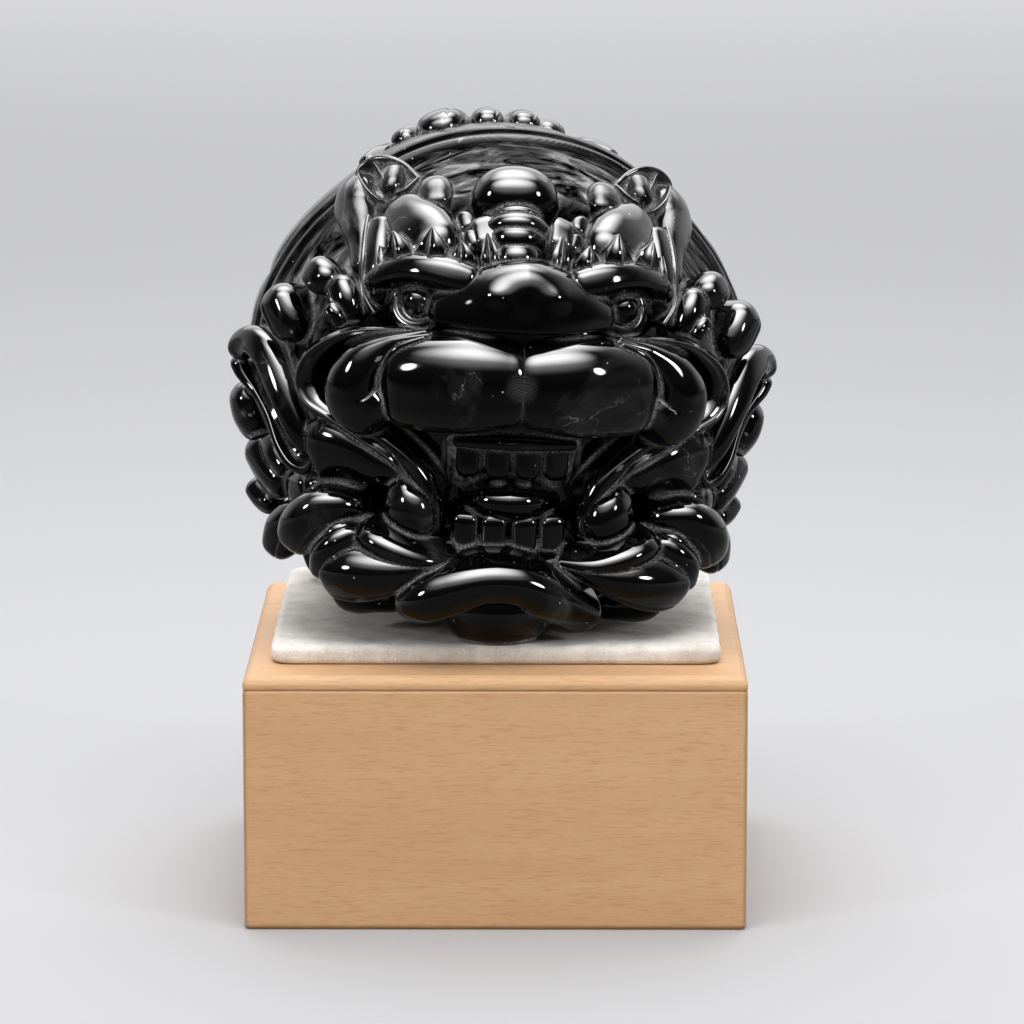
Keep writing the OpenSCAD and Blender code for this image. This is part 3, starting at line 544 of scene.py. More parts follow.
def shellRelief(grid):
    # raised collar and rim, scutes crowned away from their grooves, shoulders eased, pulled in under the face
    x, y, z = grid[..., 0], grid[..., 1], grid[..., 2]
    half = np.array(shellSet["half"])
    d = grid / half
    up = np.degrees(np.arcsin(np.clip(d[..., 2], -1, 1)))
    r = (90 - up) / shellSet["rimDrop"]
    flat = np.maximum(np.hypot(d[..., 0], d[..., 1]), 1e-6)
    plan = np.stack([r * d[..., 0] / flat, r * d[..., 1] / flat], -1)
    gap = np.full(r.shape, np.inf)
    for a, b in scuteLines():              # distance to the nearest outline
        along = b - a
        f = np.clip(((plan - a) @ along) / (along @ along), 0, 1)
        gap = np.minimum(gap, np.linalg.norm(plan - a - f[..., None] * along, axis=-1))
    gap = gap * shellSet["planScale"]      # about millimetres on the dome
    fadeBack, fadeUp = shellSet["scuteFade"]
    behind = climb(y - shellSet["collarY"] - shellSet["scuteBehind"], fadeBack)
    above = climb(z - shellSet["rimZ"] - shellSet["scuteAbove"], fadeUp)
    crowned = shellSet["crown"] * (1 - bell(gap, shellSet["crownReach"], shellSet["crownPower"]))
    scutes = crowned - shellSet["groove"] * bell(gap, shellSet["grooveHalf"])
    c = np.abs(y - shellSet["collarY"])
    beads = shellSet["beadRise"] * bell(c - shellSet["beadAway"], shellSet["beadHalf"])
    collar = shellSet["collarRise"] * bell(c, shellSet["collarHalf"], power=8) + beads
    collar = collar * climb(z - shellSet["collarZ"], shellSet["collarFade"])
    rim = shellSet["rimRise"] * bell(z - shellSet["rimZ"], shellSet["rimHalf"], power=4)
    rim = rim * climb(y - shellSet["rimY"], shellSet["rimFade"])
    m = (grid - np.array(shellSet["hollowMid"])) / np.array(shellSet["hollowHalf"])
    sink = -shellSet["hollowSink"] * climb(1 - np.linalg.norm(m, axis=-1), shellSet["hollowFade"])
    sides = bell(np.abs(x) - shellSet["shoulderX"], shellSet["shoulderHalf"])
    sides = sides * climb(z - shellSet["shoulderZ"], shellSet["shoulderFade"])
    return behind * above * scutes + collar + rim + sink - shellSet["shoulderEase"] * sides


shell = ovalSurface((0, 0, 0), shellSet["half"], around=420, along=220, relief=shellRelief)


def shellSatin(q):
    # dull round the neck and over the collar, brighter on its two beads, better polished towards the back
    away = np.abs(q[:, 1] - shellSet["collarY"]) - shellSet["beadAway"]
    bead = bell(away, shellSet["beadGlossHalf"])
    return np.interp(q[:, 1], *shellSet["satin"]) - shellSet["beadGloss"] * bead


def shellSmokySheen(q):
    # smoky clouding and painted sheen: cloudiest at the front of the neck, clear on the collar, faint over
    # the back
    return np.interp(q[:, 1], *shellSet["smokySheen"])


stonePiece("shell", ["shell"], [shell], shellSatin, shellSmokySheen)

headSet = dict(half=(47.5, 47, 47.5), mouthX=14.5, mouthZ=(-38.0, -12.5), mouthBack=-36.0, mouthSoft=1.2,
               leastSlope=0.2)


def headRelief(grid):
    # the mouth sunk to its back wall between soft-edged sides
    x, y, z = grid[..., 0], grid[..., 1], grid[..., 2]
    low, high = headSet["mouthZ"]
    inside = np.minimum(np.minimum(headSet["mouthX"] - np.abs(x), z - low), high - z)
    sink = climb(inside, headSet["mouthSoft"]) * (y < 0)
    slope = np.maximum(np.abs(y) / np.linalg.norm(grid, axis=-1), headSet["leastSlope"])
    return -sink * np.maximum(0, (np.abs(y) + headSet["mouthBack"])) / slope


headCore = ovalSurface((0, 0, 0), headSet["half"], around=300, along=180, relief=headRelief)
stonePiece("headCore", ["head_core"], [headCore])
plastronSet = dict(mid=(0, 2, -44), half=(41, 43, 16))
plastron = ovalSurface(plastronSet["mid"], plastronSet["half"], around=120, along=40)
stonePiece("plastron", ["plastron"], [plastron])
print("shell and head made")

lipRows = [[-29, -41.5, -1, 8, 7.8], [-22.5, -46, 0.2, 10.4, 9.8], [-12, -50, 1, 11.2, 10.6],
           [-3.5, -50.8, 1, 9.8, 9.8], [2.5, -50, 0.5, 7.5, 8.2]]
lipBulb = sweepLock(lipRows, around=80, along=100, reach=0.3)
stonePiece("upperLip", ["upper_lip"], [lipBulb, flipped(lipBulb)])

noseSet = dict(half=20.9, mid=15.3, top=10.6, low=1.2, endRise=2.1, endDrop=1.6, front=-48.0, bulge=10.3,
               thick=4, swell=5.5, archPower=(1.6, 0.8), closeFrom=0.9, closeOver=0.1,
               crisp=3.2, soften=0.6, wing=0.45, edgeCut=0.12, edgeHalf=0.03,
               faceShare=0.7, underShare=0.15, backOver=(-0.05, -0.9), backUnder=(-0.9, 0.8),
               nostrilX=7.4, nostrilZ=21.0, nostrilRise=0.9, nostrilHalf=(3.2, 2.4),
               dip=0.5, dipZ=19, dipHalf=(2.8, 3), frontGain=3)


def noseSurface(across=160, around=140):
    # rings across the face: the upper edge an arch, the lower one nearly straight and crisp, the front
    # upright below and turned back above, sharply at the middle and softly at the wings, with two low
    # nostril swells and a dip between
    u = -np.cos(np.pi * (np.arange(across) + 0.5) / across)
    innerPower, outerPower = noseSet["archPower"]
    arch = (1 - np.abs(u) ** innerPower) ** outerPower
    ending = np.clip(np.abs(u) - noseSet["closeFrom"], 0, 1) / noseSet["closeOver"]
    close = np.sqrt(np.clip(1 - ending ** 2, 0, 1))
    high = noseSet["mid"] + (noseSet["endRise"] + noseSet["top"] * arch) * close
    low = noseSet["mid"] - (noseSet["endDrop"] + noseSet["low"] * (1 - u ** 2)) * close
    depth = (noseSet["thick"] + noseSet["swell"] * (1 - u ** 2)) * close
    behind = noseSet["front"] + noseSet["thick"] - (noseSet["bulge"] - noseSet["swell"]) * (1 - u ** 2)
    face, under = int(around * noseSet["faceShare"]), int(around * noseSet["underShare"])
    over = around - face - under
    v = np.linspace(0, 1, face)[None]     # 0 at the lower edge, 1 at the upper one
    power = (noseSet["crisp"] - noseSet["soften"] * climb(np.abs(u), noseSet["wing"]))[:, None]
    edge = 1 - noseSet["edgeCut"] * bell(v, noseSet["edgeHalf"])
    fullness = (1 - v ** power) ** (1 / power) * edge
    everyRing = np.ones((across, 1))
    v = np.concatenate([v * everyRing, np.ones((across, over)), np.zeros((across, under))], 1)
    backOver = np.linspace(*noseSet["backOver"], over) * everyRing
    backUnder = np.linspace(*noseSet["backUnder"], under) * everyRing
    fullness = np.concatenate([fullness, backOver, backUnder], 1)
    x = (noseSet["half"] * u)[:, None] + 0 * v
    z = low[:, None] + (high - low)[:, None] * v
    y = behind[:, None] - depth[:, None] * fullness
    wide, tall = noseSet["nostrilHalf"]
    nostrils = bell(np.abs(x) - noseSet["nostrilX"], wide) * bell(z - noseSet["nostrilZ"], tall)
    wide, tall = noseSet["dipHalf"]
    dip = noseSet["dip"] * bell(x, wide) * bell(z - noseSet["dipZ"], tall)
    forward = noseSet["nostrilRise"] * nostrils - dip
    grid = np.stack([x, y - forward * np.clip(fullness * noseSet["frontGain"], 0, 1), z], -1)
    tip = np.array([0, noseSet["front"] + noseSet["thick"], noseSet["mid"]])
    poles = np.array([[-1, 0, 0], [1.0, 0, 0]]) * noseSet["half"] + tip
    return dict(grid=grid, poles=poles, flow=np.stack([x, z, y], -1))


stonePiece("nose", ["nose"], [noseSurface()])

crestSet = dict(
    knob=[[-1.2, -26, 39.8, 8, 7], [-1.3, -31, 38.3, 9.6, 8.8], [-1.4, -35, 36.2, 9.4, 8]],
    stem=[[-1.2, -37.3, 36.4, 8.8, 7], [-1.3, -40, 34.2, 8.2, 6.6], [-1.4, -42.3, 31.4, 7.1, 5.9],
          [-1.5, -44.3, 28.5, 6, 5.4], [-1.5, -45.8, 25.8, 5, 4.9]],
    rings=4, pinch=0.2, ringPower=0.4,
    leaf=[[-7.3, -48, 25, 2, 2.2], [-7.7, -47.3, 28.6, 1.9, 2.2], [-8.2, -45.3, 32.6, 0.2, 0.6]],
    scales=[
        [[-14, -38.5, 33, 1.8, 1.2], [-13, -39.3, 34, 2.4, 1.4], [-12, -39.5, 34.6, 2, 1.2]],
        [[-12.6, -42, 29.6, 1.8, 1.2], [-11.5, -42.7, 30.6, 2.3, 1.4], [-10.6, -42.8, 31.2, 1.8, 1.2]],
        [[-9.2, -38, 34, 2, 2], [-8.4, -40.5, 33, 2.8, 2.6], [-7.8, -43.5, 30, 2.6, 2.4]],
    ],
)


def ringedSection(a, t):
    # the column swells at each ring and pinches between them
    wave = np.abs(np.sin(np.pi * crestSet["rings"] * t)) ** crestSet["ringPower"]
    swell = 1 - crestSet["pinch"] + crestSet["pinch"] * wave
    return np.cos(a) * swell, np.sin(a) * swell


crestLeaf = sweepLock(crestSet["leaf"], flame, around=80, along=40, heavy=0)
crestScales = sweepLocks(crestSet["scales"], blocky, around=36, along=32)
stonePiece("foreheadCrest", ["forehead_crest"],
           [sweepLock(crestSet["knob"], around=64, along=64, reach=0.5, heavy=0),
            sweepLock(crestSet["stem"], ringedSection, around=64, along=200, heavy=0),
            crestLeaf, flipped(crestLeaf)] + crestScales + [flipped(s) for s in crestScales])

foldSet = dict(
    lobe=[[-20, -51, 11.5, 0.7, 2], [-28, -48.5, 8, 2.4, 3.5], [-33, -45.5, 3, 5.4, 6.8],
          [-33.5, -43.5, -3, 7, 8.6], [-29.5, -44, -6, 5.6, 7.5]],
    fold=[[-24, -49, 11.5, 0.6, 2], [-35, -42.5, 9.5, 1.5, 3.5], [-41.5, -36.5, 4.5, 2.7, 5],
          [-43.5, -33.5, -1.5, 3, 5.5], [-42, -35, -6, 2.4, 5], [-37.5, -38.5, -9, 1.5, 4],
          [-32, -41, -12.5, 1.2, 3.5], [-26, -42.5, -16, 1.3, 3.5], [-22, -42, -20.5, 1.1, 3]],
    strands=[
        [[-21, -52.5, 10.5, 0.5, 1], [-26.5, -51.5, 8, 0.8, 1.4], [-29, -50.5, 4.5, 0.8, 1.3],
         [-30, -49.5, 0.5, 0.5, 1]],
        [[-20, -52.5, 11, 0.5, 1], [-28, -50.5, 9, 0.8, 1.3], [-33, -48.8, 6, 0.8, 1.2],
         [-35.5, -47, 2.5, 0.5, 0.9]],
    ],
)
stonePair("lip_folds",
          [sweepLock(foldSet["lobe"], along=90), sweepLock(foldSet["fold"], ridged, along=110)] +
          sweepLocks(foldSet["strands"], around=20, along=40, root=1.5))

browSet = dict(
    bulge=[[-25.6, -26.2, 35.4, 3.6, 4.5], [-23.1, -31.7, 32.9, 5.9, 5.8], [-20.3, -36.4, 30.3, 7, 6.4],
           [-18.3, -40.5, 27.8, 6.2, 5.6]],
    ridge=[[-30.5, -36.5, 16.5, 2.2, 3.5], [-30, -38.5, 20.5, 2.7, 4.2], [-25.4, -42.3, 23.2, 3.2, 4.8],
           [-20.3, -45.3, 23.8, 3.6, 5.2], [-15.2, -47.2, 23.2, 3.9, 5], [-11.2, -48.2, 22.2, 3, 4]],
    spikes=[
        [[-30.8, -40, 17.5, 0.9, 1.8], [-30.8, -41, 21.5, 1.3, 2], [-30.8, -41, 24.5, 1.2, 2],
         [-30.7, -39.5, 28.2, 0.2, 0.8]],
        [[-25.8, -40.5, 21.5, 3.6, 2.4], [-26.5, -42.6, 25.6, 4.2, 2.8], [-27.2, -43.2, 28.6, 2.8, 2.6],
         [-28.4, -42.4, 32, 0.15, 0.5]],
        [[-19.8, -43.8, 22.5, 3.8, 2.6], [-20, -46, 26.6, 4.4, 3], [-20.1, -46.6, 29.8, 2.9, 2.8],
         [-20.3, -45.8, 33.6, 0.15, 0.5]],
        [[-13.4, -45.8, 22.5, 3.2, 2.4], [-13.5, -47.6, 26, 3.6, 2.8], [-13.7, -48, 28.4, 2.4, 2.4],
         [-14, -47.4, 31, 0.15, 0.5]],
    ],
)
stonePair("brow",
          [sweepLock(browSet["bulge"], around=60, along=80),
           sweepLock(browSet["ridge"], around=48, along=90)] +
          sweepLocks(browSet["spikes"], flame, around=80, along=48, root=2, heavy=0))

eyeSet = dict(mid=(-22.4, -43.5, 17.2), ball=3.5, lid=5.5, lidHalf=1.35, lidSink=0.9,
              inner=4.0, innerHalf=0.45, innerSink=1.3, overlap=0.1, rows=17)
eyeMid = np.array(eyeSet["mid"])
eyeAxis = unit(eyeMid)
eyeAcross = unit(np.cross(eyeAxis, [0, 0, 1.0]))
eyeUp = np.cross(eyeAcross, eyeAxis)


def eyeRing(radius, half, sink):
    # a tube on a circle round the eye, run a little past its start
    turns = np.linspace(-eyeSet["overlap"], 2 * math.pi + eyeSet["overlap"], eyeSet["rows"])
    middle = eyeMid - eyeAxis * sink
    circle = [middle + radius * (eyeAcross * math.cos(k) + eyeUp * math.sin(k)) for k in turns]
    return sweepLock([[*place, half, half] for place in circle], around=24, along=110, root=1.5, heavy=0)


eyeBall = ovalSurface(eyeMid, (eyeSet["ball"],) * 3, around=48, along=32)
eyeRings = [eyeRing(eyeSet[part], eyeSet[part + "Half"], eyeSet[part + "Sink"]) for part in ("lid", "inner")]
stonePair("eye", [eyeBall] + eyeRings)

hornSet = dict(
    stub=[[-21, -27.5, 36, 4, 4.5], [-18.6, -29, 37.5, 5.2, 5], [-17.4, -29.1, 37.7, 5, 4.8]],
    lobe=[[-31.4, -12.6, 39.6, 3.8, 4], [-33.5, -17.3, 36.1, 4.9, 5], [-34.1, -20.2, 33.1, 4.9, 5],
          [-33.5, -25.1, 29.8, 4, 4.6], [-33, -29.1, 26.5, 3.2, 4], [-33.6, -33.2, 21.8, 2, 3]],
    cups=[
        [[-27.9, -23.7, 35.8, 1.2, 3], [-30.3, -21.2, 38.7, 2.7, 3.5], [-31.8, -17.4, 41.1, 2.5, 3]],
        [[-26.1, -24.2, 37, 0.9, 3], [-24.2, -24.2, 38.4, 1.9, 3], [-22.2, -22.3, 40.1, 1.6, 2.5]],
    ],
    fan=[[-27.3, -24.2, 36.6, 1.5, 3], [-26.8, -22, 39, 3, 4], [-26.4, -19.2, 41.5, 3, 3.5]],
    rim=[[-33.7, -16.6, 37.9, 0.6, 2], [-32.9, -16.6, 41.5, 0.8, 2.4], [-30.1, -17.5, 43.6, 0.9, 2.4],
         [-26.9, -19, 43.7, 0.9, 2.4], [-23.6, -20.4, 42.2, 0.8, 2.4], [-21.2, -22.5, 40.5, 0.5, 2]],
)
stonePair("horn",
          [sweepLock(hornSet["stub"], around=52), sweepLock(hornSet["lobe"], around=52, along=90, root=5),
           sweepLock(hornSet["fan"], around=48), sweepLock(hornSet["rim"], around=24, along=80, root=4)] +
          sweepLocks(hornSet["cups"], cupped, around=64, along=60), satin=0.25)

templeSet = dict(
    rim=[[-31.7, -28.4, 32.7, 0.7, 2.4], [-32.5, -32.2, 29.1, 0.9, 2.6], [-33, -35.7, 24.8, 0.9, 2.6],
         [-33.2, -37.6, 20.4, 0.9, 2.6], [-32.6, -39.1, 16.6, 1, 2.6], [-30.8, -40.6, 13.6, 1, 2.4]],
    band=[[-29.2, -30.2, 33.2, 2.4, 3], [-30.3, -33.6, 29.2, 3, 3], [-30.8, -36.5, 24.9, 3.2, 3],
          [-31, -37.9, 20.5, 3, 3], [-30.5, -38.9, 16.6, 2.4, 3]],
    fingers=[
        [[-46.7, -31, 5.6, 3.8, 4], [-48.9, -29, 10.8, 4.6, 5], [-50.5, -27, 14.2, 4.6, 5]],
        [[-40.1, -36, 16.9, 3.4, 4], [-41.6, -34, 19.9, 4, 4.8], [-42.4, -32, 20.7, 4, 4.8]],
    ],
    leaves=[
        [[-35.3, -40, 11.2, 2.6, 3.5], [-37.2, -39, 16.1, 3.5, 4], [-38.1, -37, 18.8, 3.3, 4]],
        [[-38.3, -42, 10.6, 1.4, 2], [-39.4, -41.5, 13.3, 1.8, 2.5], [-40.3, -40.5, 14.5, 1.6, 2.5]],
    ],
)
stonePair("temple",
          [sweepLock(templeSet["rim"], around=28, along=110), sweepLock(templeSet["band"], along=70)] +
          sweepLocks(templeSet["fingers"], grooved, around=96, along=64, root=6) +
          sweepLocks(templeSet["leaves"], grooved, around=96, along=60, root=4))

whiskerSet = dict(
    faces=(-0.35, -0.93, 0.1),
    floor=[[-56.5, -6.3, -3.4, 3.4, 1.5], [-53.1, -16.6, -6.3, 3.8, 1.5],
           [-49.7, -22.5, -12.6, 3.8, 1.5], [-46.8, -23.9, -19.2, 3.4, 1.5],
           [-45, -25.8, -21.2, 2.4, 1.5]],
    roll=[[-59, -13.1, -1.3, 2.9, 3], [-58, -15.2, 2.3, 3.2, 3.2], [-55.6, -19.4, 3.6, 3.4, 3.4],
          [-52.8, -23.9, 1, 3.5, 3.4], [-50.4, -27.4, -4.2, 3.4, 3.4], [-48.2, -29.9, -9.2, 3.2, 3.2],
          [-45.8, -31.6, -14.5, 2.7, 3], [-43.6, -32.2, -17.6, 1.8, 2.5]],
    rim=[[-59.2, -13, -0.6, 2.2, 2.6], [-57.8, -14.2, -4.2, 1.7, 2.6], [-54.6, -17, -8.2, 1.2, 2.5],
         [-51.9, -21, -12.6, 1.1, 2.6], [-49.6, -25, -18.4, 1.1, 2.8], [-46.9, -28, -22, 1.2, 3],
         [-44, -30.5, -22.8, 1.3, 3], [-42.2, -32.5, -20.3, 1.2, 3], [-41.8, -35, -14.9, 1, 2.6],
         [-41.5, -37, -9.6, 0.6, 2]],
)
stonePair("whisker",
          [sweepLock(whiskerSet[part], around=40, along=130, root=root, outward=whiskerSet["faces"])
           for part, root in dict(floor=5, roll=4, rim=4).items()])

cheekLocks = [
    [[-44, -29.5, -19, 6.4, 4.4], [-40, -32.8, -17.5, 7.6, 5.2], [-34.4, -36.5, -17.8, 6.6, 5],
     [-28.5, -39, -19.5, 4.4, 4.4], [-22.5, -40.5, -21, 2, 3]],
    [[-22.4, -40, -21.5, 1.4, 3], [-22.2, -41.3, -25, 4.4, 5], [-21, -42.3, -29, 5.9, 6],
     [-20.2, -42.3, -32.2, 5, 5.5]],
    [[-32, -40, -10.7, 1.2, 3], [-26.7, -42, -13.6, 1.6, 3.2], [-22.1, -43, -17.4, 1.9, 3.4],
     [-18.5, -43.2, -21.9, 2.2, 3.6], [-16.5, -43.2, -27.2, 2.1, 3.4], [-15.5, -43, -32.5, 1.4, 3]],
]
stonePair("cheek", sweepLocks(cheekLocks, around=52, along=72))

maneLocks = [
    [[-51, -12, -17.5, 4, 4], [-54.6, -9, -14, 5, 5], [-55.3, -8.5, -10, 4.6, 5]],
    [[-45.6, -22, -28, 3, 4], [-48.1, -18, -26.5, 4.6, 5], [-50.8, -14, -23.2, 5, 5.2],
     [-52.2, -12, -21, 4, 5]],
    [[-45.5, -23.5, -24, 2.2, 4], [-48.5, -19.5, -21, 3.2, 4.5], [-49.5, -16.5, -19, 2.8, 4]],
    [[-48, -14.5, -32.5, 2.4, 4], [-51, -11.5, -32, 3, 4], [-52.5, -9.5, -30, 2.5, 4]],
    [[-43.5, -27.5, -31.5, 3, 4], [-47, -23.5, -36.5, 4.4, 5], [-47.5, -20.5, -41.5, 4, 4.8]],
    [[-43.5, -26, -22, 5, 3.4], [-43, -26.5, -27, 7, 4], [-41.5, -28, -33, 6, 3.4]],
]
stonePair("mane", sweepLocks(maneLocks, grooved, around=96, along=64))

sideBeardLocks = [
    [[-27.6, -36, -32.3, 1.6, 3], [-34, -38, -28.9, 3.4, 4.4], [-40, -38, -29.8, 5, 5.2],
     [-43.9, -36, -33.6, 5.4, 5.5], [-44.6, -33, -37, 4.4, 5]],
    [[-27, -36.5, -32.5, 1, 2], [-33, -39.5, -32.5, 1.8, 3], [-37.5, -40, -34.5, 2.4, 3.6],
     [-39, -38, -38.5, 2.6, 4]],
    [[-30, -39.5, -33, 1.4, 3], [-35, -41, -35, 3, 4], [-38.5, -40, -38.5, 3.6, 5],
     [-38.5, -37, -42.5, 3, 5]],
    [[-11.5, -44.5, -38.5, 0.9, 2.5], [-18.5, -46.5, -40, 2.6, 4], [-25.5, -45, -41.5, 4.8, 6],
     [-33, -41, -42.5, 6.2, 7], [-36.5, -38, -42.5, 5, 6]],
    [[-11, -46.5, -38, 0.6, 1.6], [-18.5, -49, -38, 1.4, 2.8], [-25, -48.5, -36.5, 2.2, 3.4],
     [-30, -45.5, -34.5, 2.3, 3.4], [-31.5, -41.5, -33.5, 1.6, 3]],
]
stonePair("beard", sweepLocks(sideBeardLocks, grooved, around=96, along=80))

beardRows = [[-22, -42.5, -48.5, 3.2, 5], [-18.5, -47, -46.5, 4.9, 6.5], [-12.5, -49.5, -44.3, 5, 6],
             [-5.5, -50.5, -42, 4.4, 5.6], [2.5, -50, -42.3, 4.4, 5.6], [10.5, -47.5, -46, 4.8, 5.6],
             [18.5, -43, -50, 3.6, 4.6]]
stonePiece("beard", ["beard"], [sweepLock(beardRows, around=56, along=120)])

footSet = dict(
    fore=[[-36.5, -27, -49.5, 3.8, 4], [-31.6, -29.5, -50.2, 4.6, 4.2], [-27, -29.5, -50.4, 4.6, 4.2],
          [-23, -27.5, -50.8, 3.8, 4]],
    hind=[[-18, 26, -45, 5, 7], [-27, 34, -50, 6, 7], [-33, 40, -53, 5, 5]],
    toes=[
        [[-24, 38.5, -54, 1.6, 3], [-27, 42, -55, 2.2, 3.4], [-28.6, 44.2, -56, 1.6, 2.6]],
        [[-29, 37, -53, 1.8, 4], [-33, 41, -54, 2.4, 4.2], [-35, 43, -55.5, 1.7, 3]],
        [[-30.5, 31.5, -54, 1.6, 3], [-35, 34, -55, 2.2, 3.4], [-37.4, 35.4, -56, 1.6, 2.6]],
    ],
)
stonePair("forefoot", [sweepLock(footSet["fore"])])
stonePair("hindfoot", [sweepLock(footSet["hind"])] +
          sweepLocks(footSet["toes"], around=40, along=48, root=2))

mouthSet = dict(
    gum=[[-13, -42, -13, 1.2, 2.5], [0, -46, -12.5, 1.5, 3], [13, -42, -13, 1.2, 2.5]],
    lowerLip=[[-15, -41, -37, 1.8, 4], [0, -46, -39.5, 2.2, 5], [15, -41, -37, 1.8, 4]],
    tongue=[[-9, -37, -26.5, 2.5, 3], [-5, -42.5, -26, 3.4, 4], [0, -44, -26, 3.8, 4.5],
            [5, -42.5, -26, 3.4, 4], [9, -37, -26.5, 2.5, 3]],
    across=(-9.5, -3.3, 3.3, 9.5), toothHalf=(2.7, 2.2), depth=44.5, curve=0.02, upper=(-12, -19.5),
    lower=(-38, -30.5), pearlMid=(-1.2, -39.5, -51), pearlHalf=(12.8, 9, 8.8),
)


def tooth(x, ends):
    # a rounded block from end to end, standing back towards the mouth's corners
    y = mouthSet["curve"] * x * x - mouthSet["depth"]
    heights = (ends[0], (ends[0] + ends[1]) / 2, ends[1])
    rows = [[x, y, z, *mouthSet["toothHalf"]] for z in heights]
    return sweepLock(rows, blocky, around=40, along=36, root=0, heavy=0)


def teeth(ends):
    return [tooth(x, ends) for x in mouthSet["across"]]


stonePiece("upperTeeth", ["upper_teeth"], [sweepLock(mouthSet["gum"])] + teeth(mouthSet["upper"]))
stonePiece("lowerTeeth", ["lower_teeth"], teeth(mouthSet["lower"]))
stonePiece("lowerLip", ["lower_lip"], [sweepLock(mouthSet["lowerLip"])])
stonePiece("tongue", ["tongue"], [sweepLock(mouthSet["tongue"])])
throatPearl = ovalSurface(mouthSet["pearlMid"], mouthSet["pearlHalf"], around=72, along=44)
stonePiece("throatPearl", ["throat_pearl"], [throatPearl])

tailSet = dict(
    stem=[[0, 47, -32, 6, 6], [3, 55, -16, 6.5, 5], [-2, 56, 2, 6, 5], [2, 52, 20, 5.5, 5],
          [0, 43, 33, 5, 5], [0, 34, 40, 4.5, 4.5]],
    curls=[
        [[-1, 40, 34, 3, 4], [-18, 28, 40, 3.6, 4], [-27, 13, 41.3, 3, 3.4], [-30, 6, 40.2, 2, 3]],
        [[0, 38, 36, 3, 4], [-12, 29, 42, 4, 4.6], [-19.5, 18, 45.2, 3.6, 4], [-22, 14, 44.7, 2.6, 3.2]],
        [[0, 38, 37, 3, 4], [-7, 29, 44, 5, 4.8], [-12.5, 20, 48.2, 5.8, 4.6], [-13.5, 16, 48.2, 5, 4]],
        [[0, 36, 38, 3, 4], [-2.5, 27, 46, 3.8, 4.8], [-3.2, 18, 49.6, 4, 4.2], [-3, 15, 49.6, 3.4, 3.8]],
        [[0, 36, 38, 3, 4], [3, 27, 46, 3.8, 4.8], [4.8, 18, 49.4, 4, 4.2], [5, 15, 49.2, 3.4, 3.8]],
        [[1, 38, 37, 3, 4], [7, 28, 44.5, 3.8, 4.6], [11, 16, 47.6, 3.8, 4]],
        [[1, 40, 34, 3, 4], [13, 29, 41, 3.8, 4.4], [20, 15, 44.2, 3.4, 3.8], [24, 9, 43.2, 2.2, 3]],
    ],
)
stonePiece("tail", ["tail"], [sweepLock(tailSet["stem"], ridged, along=100)] +
           sweepLocks(tailSet["curls"], grooved, around=96, along=70))
print("carving made")

# pale hardwood: long fine flecks along the board over broad soft bands
woodSet = dict(light=(0.64, 0.385, 0.2, 1), mid=(0.57, 0.33, 0.16, 1), dark=(0.42, 0.21, 0.085, 1),
               fleck=0.62, rough=(0.42, 0.57), edge=0.0009, stretch=14.0, bump=0.12, bumpDeep=0.0003,
               bandScale=2.2, bandGrain=dict(Scale=3.0, Detail=5.0, Roughness=0.55, Distortion=0.6),
               fleckScale=30.0, fleckGrain=dict(Scale=7.0, Detail=8.0, Roughness=0.7))


def woodGrain(tree, coord, along, scale, grain):
    # noise drawn out along one axis of the board
    stretch = [woodSet["stretch"] * scale] * 3
    stretch[along] = scale
    mapping = addNode(tree, "ShaderNodeMapping", Scale=stretch)
    link(coord.outputs["Object"], mapping.inputs["Vector"])
    noise = addNode(tree, "ShaderNodeTexNoise", **grain)
    link(mapping.outputs["Vector"], noise.inputs["Vector"])
    return noise.outputs["Fac"]


def woodMaterial(name, along):
    mat, tree, shader = newMaterial(name)
    coord = addNode(tree, "ShaderNodeTexCoord")
    bands = woodGrain(tree, coord, along, woodSet["bandScale"], woodSet["bandGrain"])
    flecks = woodGrain(tree, coord, along, woodSet["fleckScale"], woodSet["fleckGrain"])
    base = addRamp(tree, bands, [(0.3, woodSet["mid"]), (0.7, woodSet["light"])])
    mask = addRamp(tree, flecks, [(0.5, grey(0)), (0.66, grey(woodSet["fleck"]))])
    link(addMix(tree, mask, base, woodSet["dark"]), shader.inputs["Base Color"])
    rough = addRamp(tree, flecks, [(0.3, grey(woodSet["rough"][0])), (0.8, grey(woodSet["rough"][1]))])
    link(rough, shader.inputs["Roughness"])
    edge = addNode(tree, "ShaderNodeBevel", samples=6, Radius=woodSet["edge"])
    bump = addNode(tree, "ShaderNodeBump", Strength=woodSet["bump"], Distance=woodSet["bumpDeep"])
    link(edge.outputs["Normal"], bump.inputs["Normal"])
    link(flecks, bump.inputs["Height"])
    link(bump.outputs["Normal"], shader.inputs["Normal"])
    return mat


woodAcross, woodDeep = woodMaterial("hardwoodAcross", 0), woodMaterial("hardwoodDeep", 1)
boardSet = dict(box_front=woodAcross, box_back=woodAcross, box_left=woodDeep, box_right=woodDeep,
                box_floor=woodAcross, lid_board=woodAcross, lid_battens=woodAcross)
for nodeName, mat in boardSet.items():
    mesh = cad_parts[nodeName].data
    mesh.materials.clear()
    mesh.materials.append(mat)
print("box dressed")

# the felt pad: a thick sheet with soft corners, a rounded edge and an uneven woolly top
padSet = dict(width=99.0, depth=94.0, thick=4.5, back=4.0, corner=4.0, base=56.7, round=1.7,
              middle=46, sunk=0.22, wave=0.12, waveTurn=(0.55, 0.4, 0.47), waveStart=1.3,
              ripple=0.05, rippleTurn=(1.9, 1.3), fray=0.15, frayTurns=31)


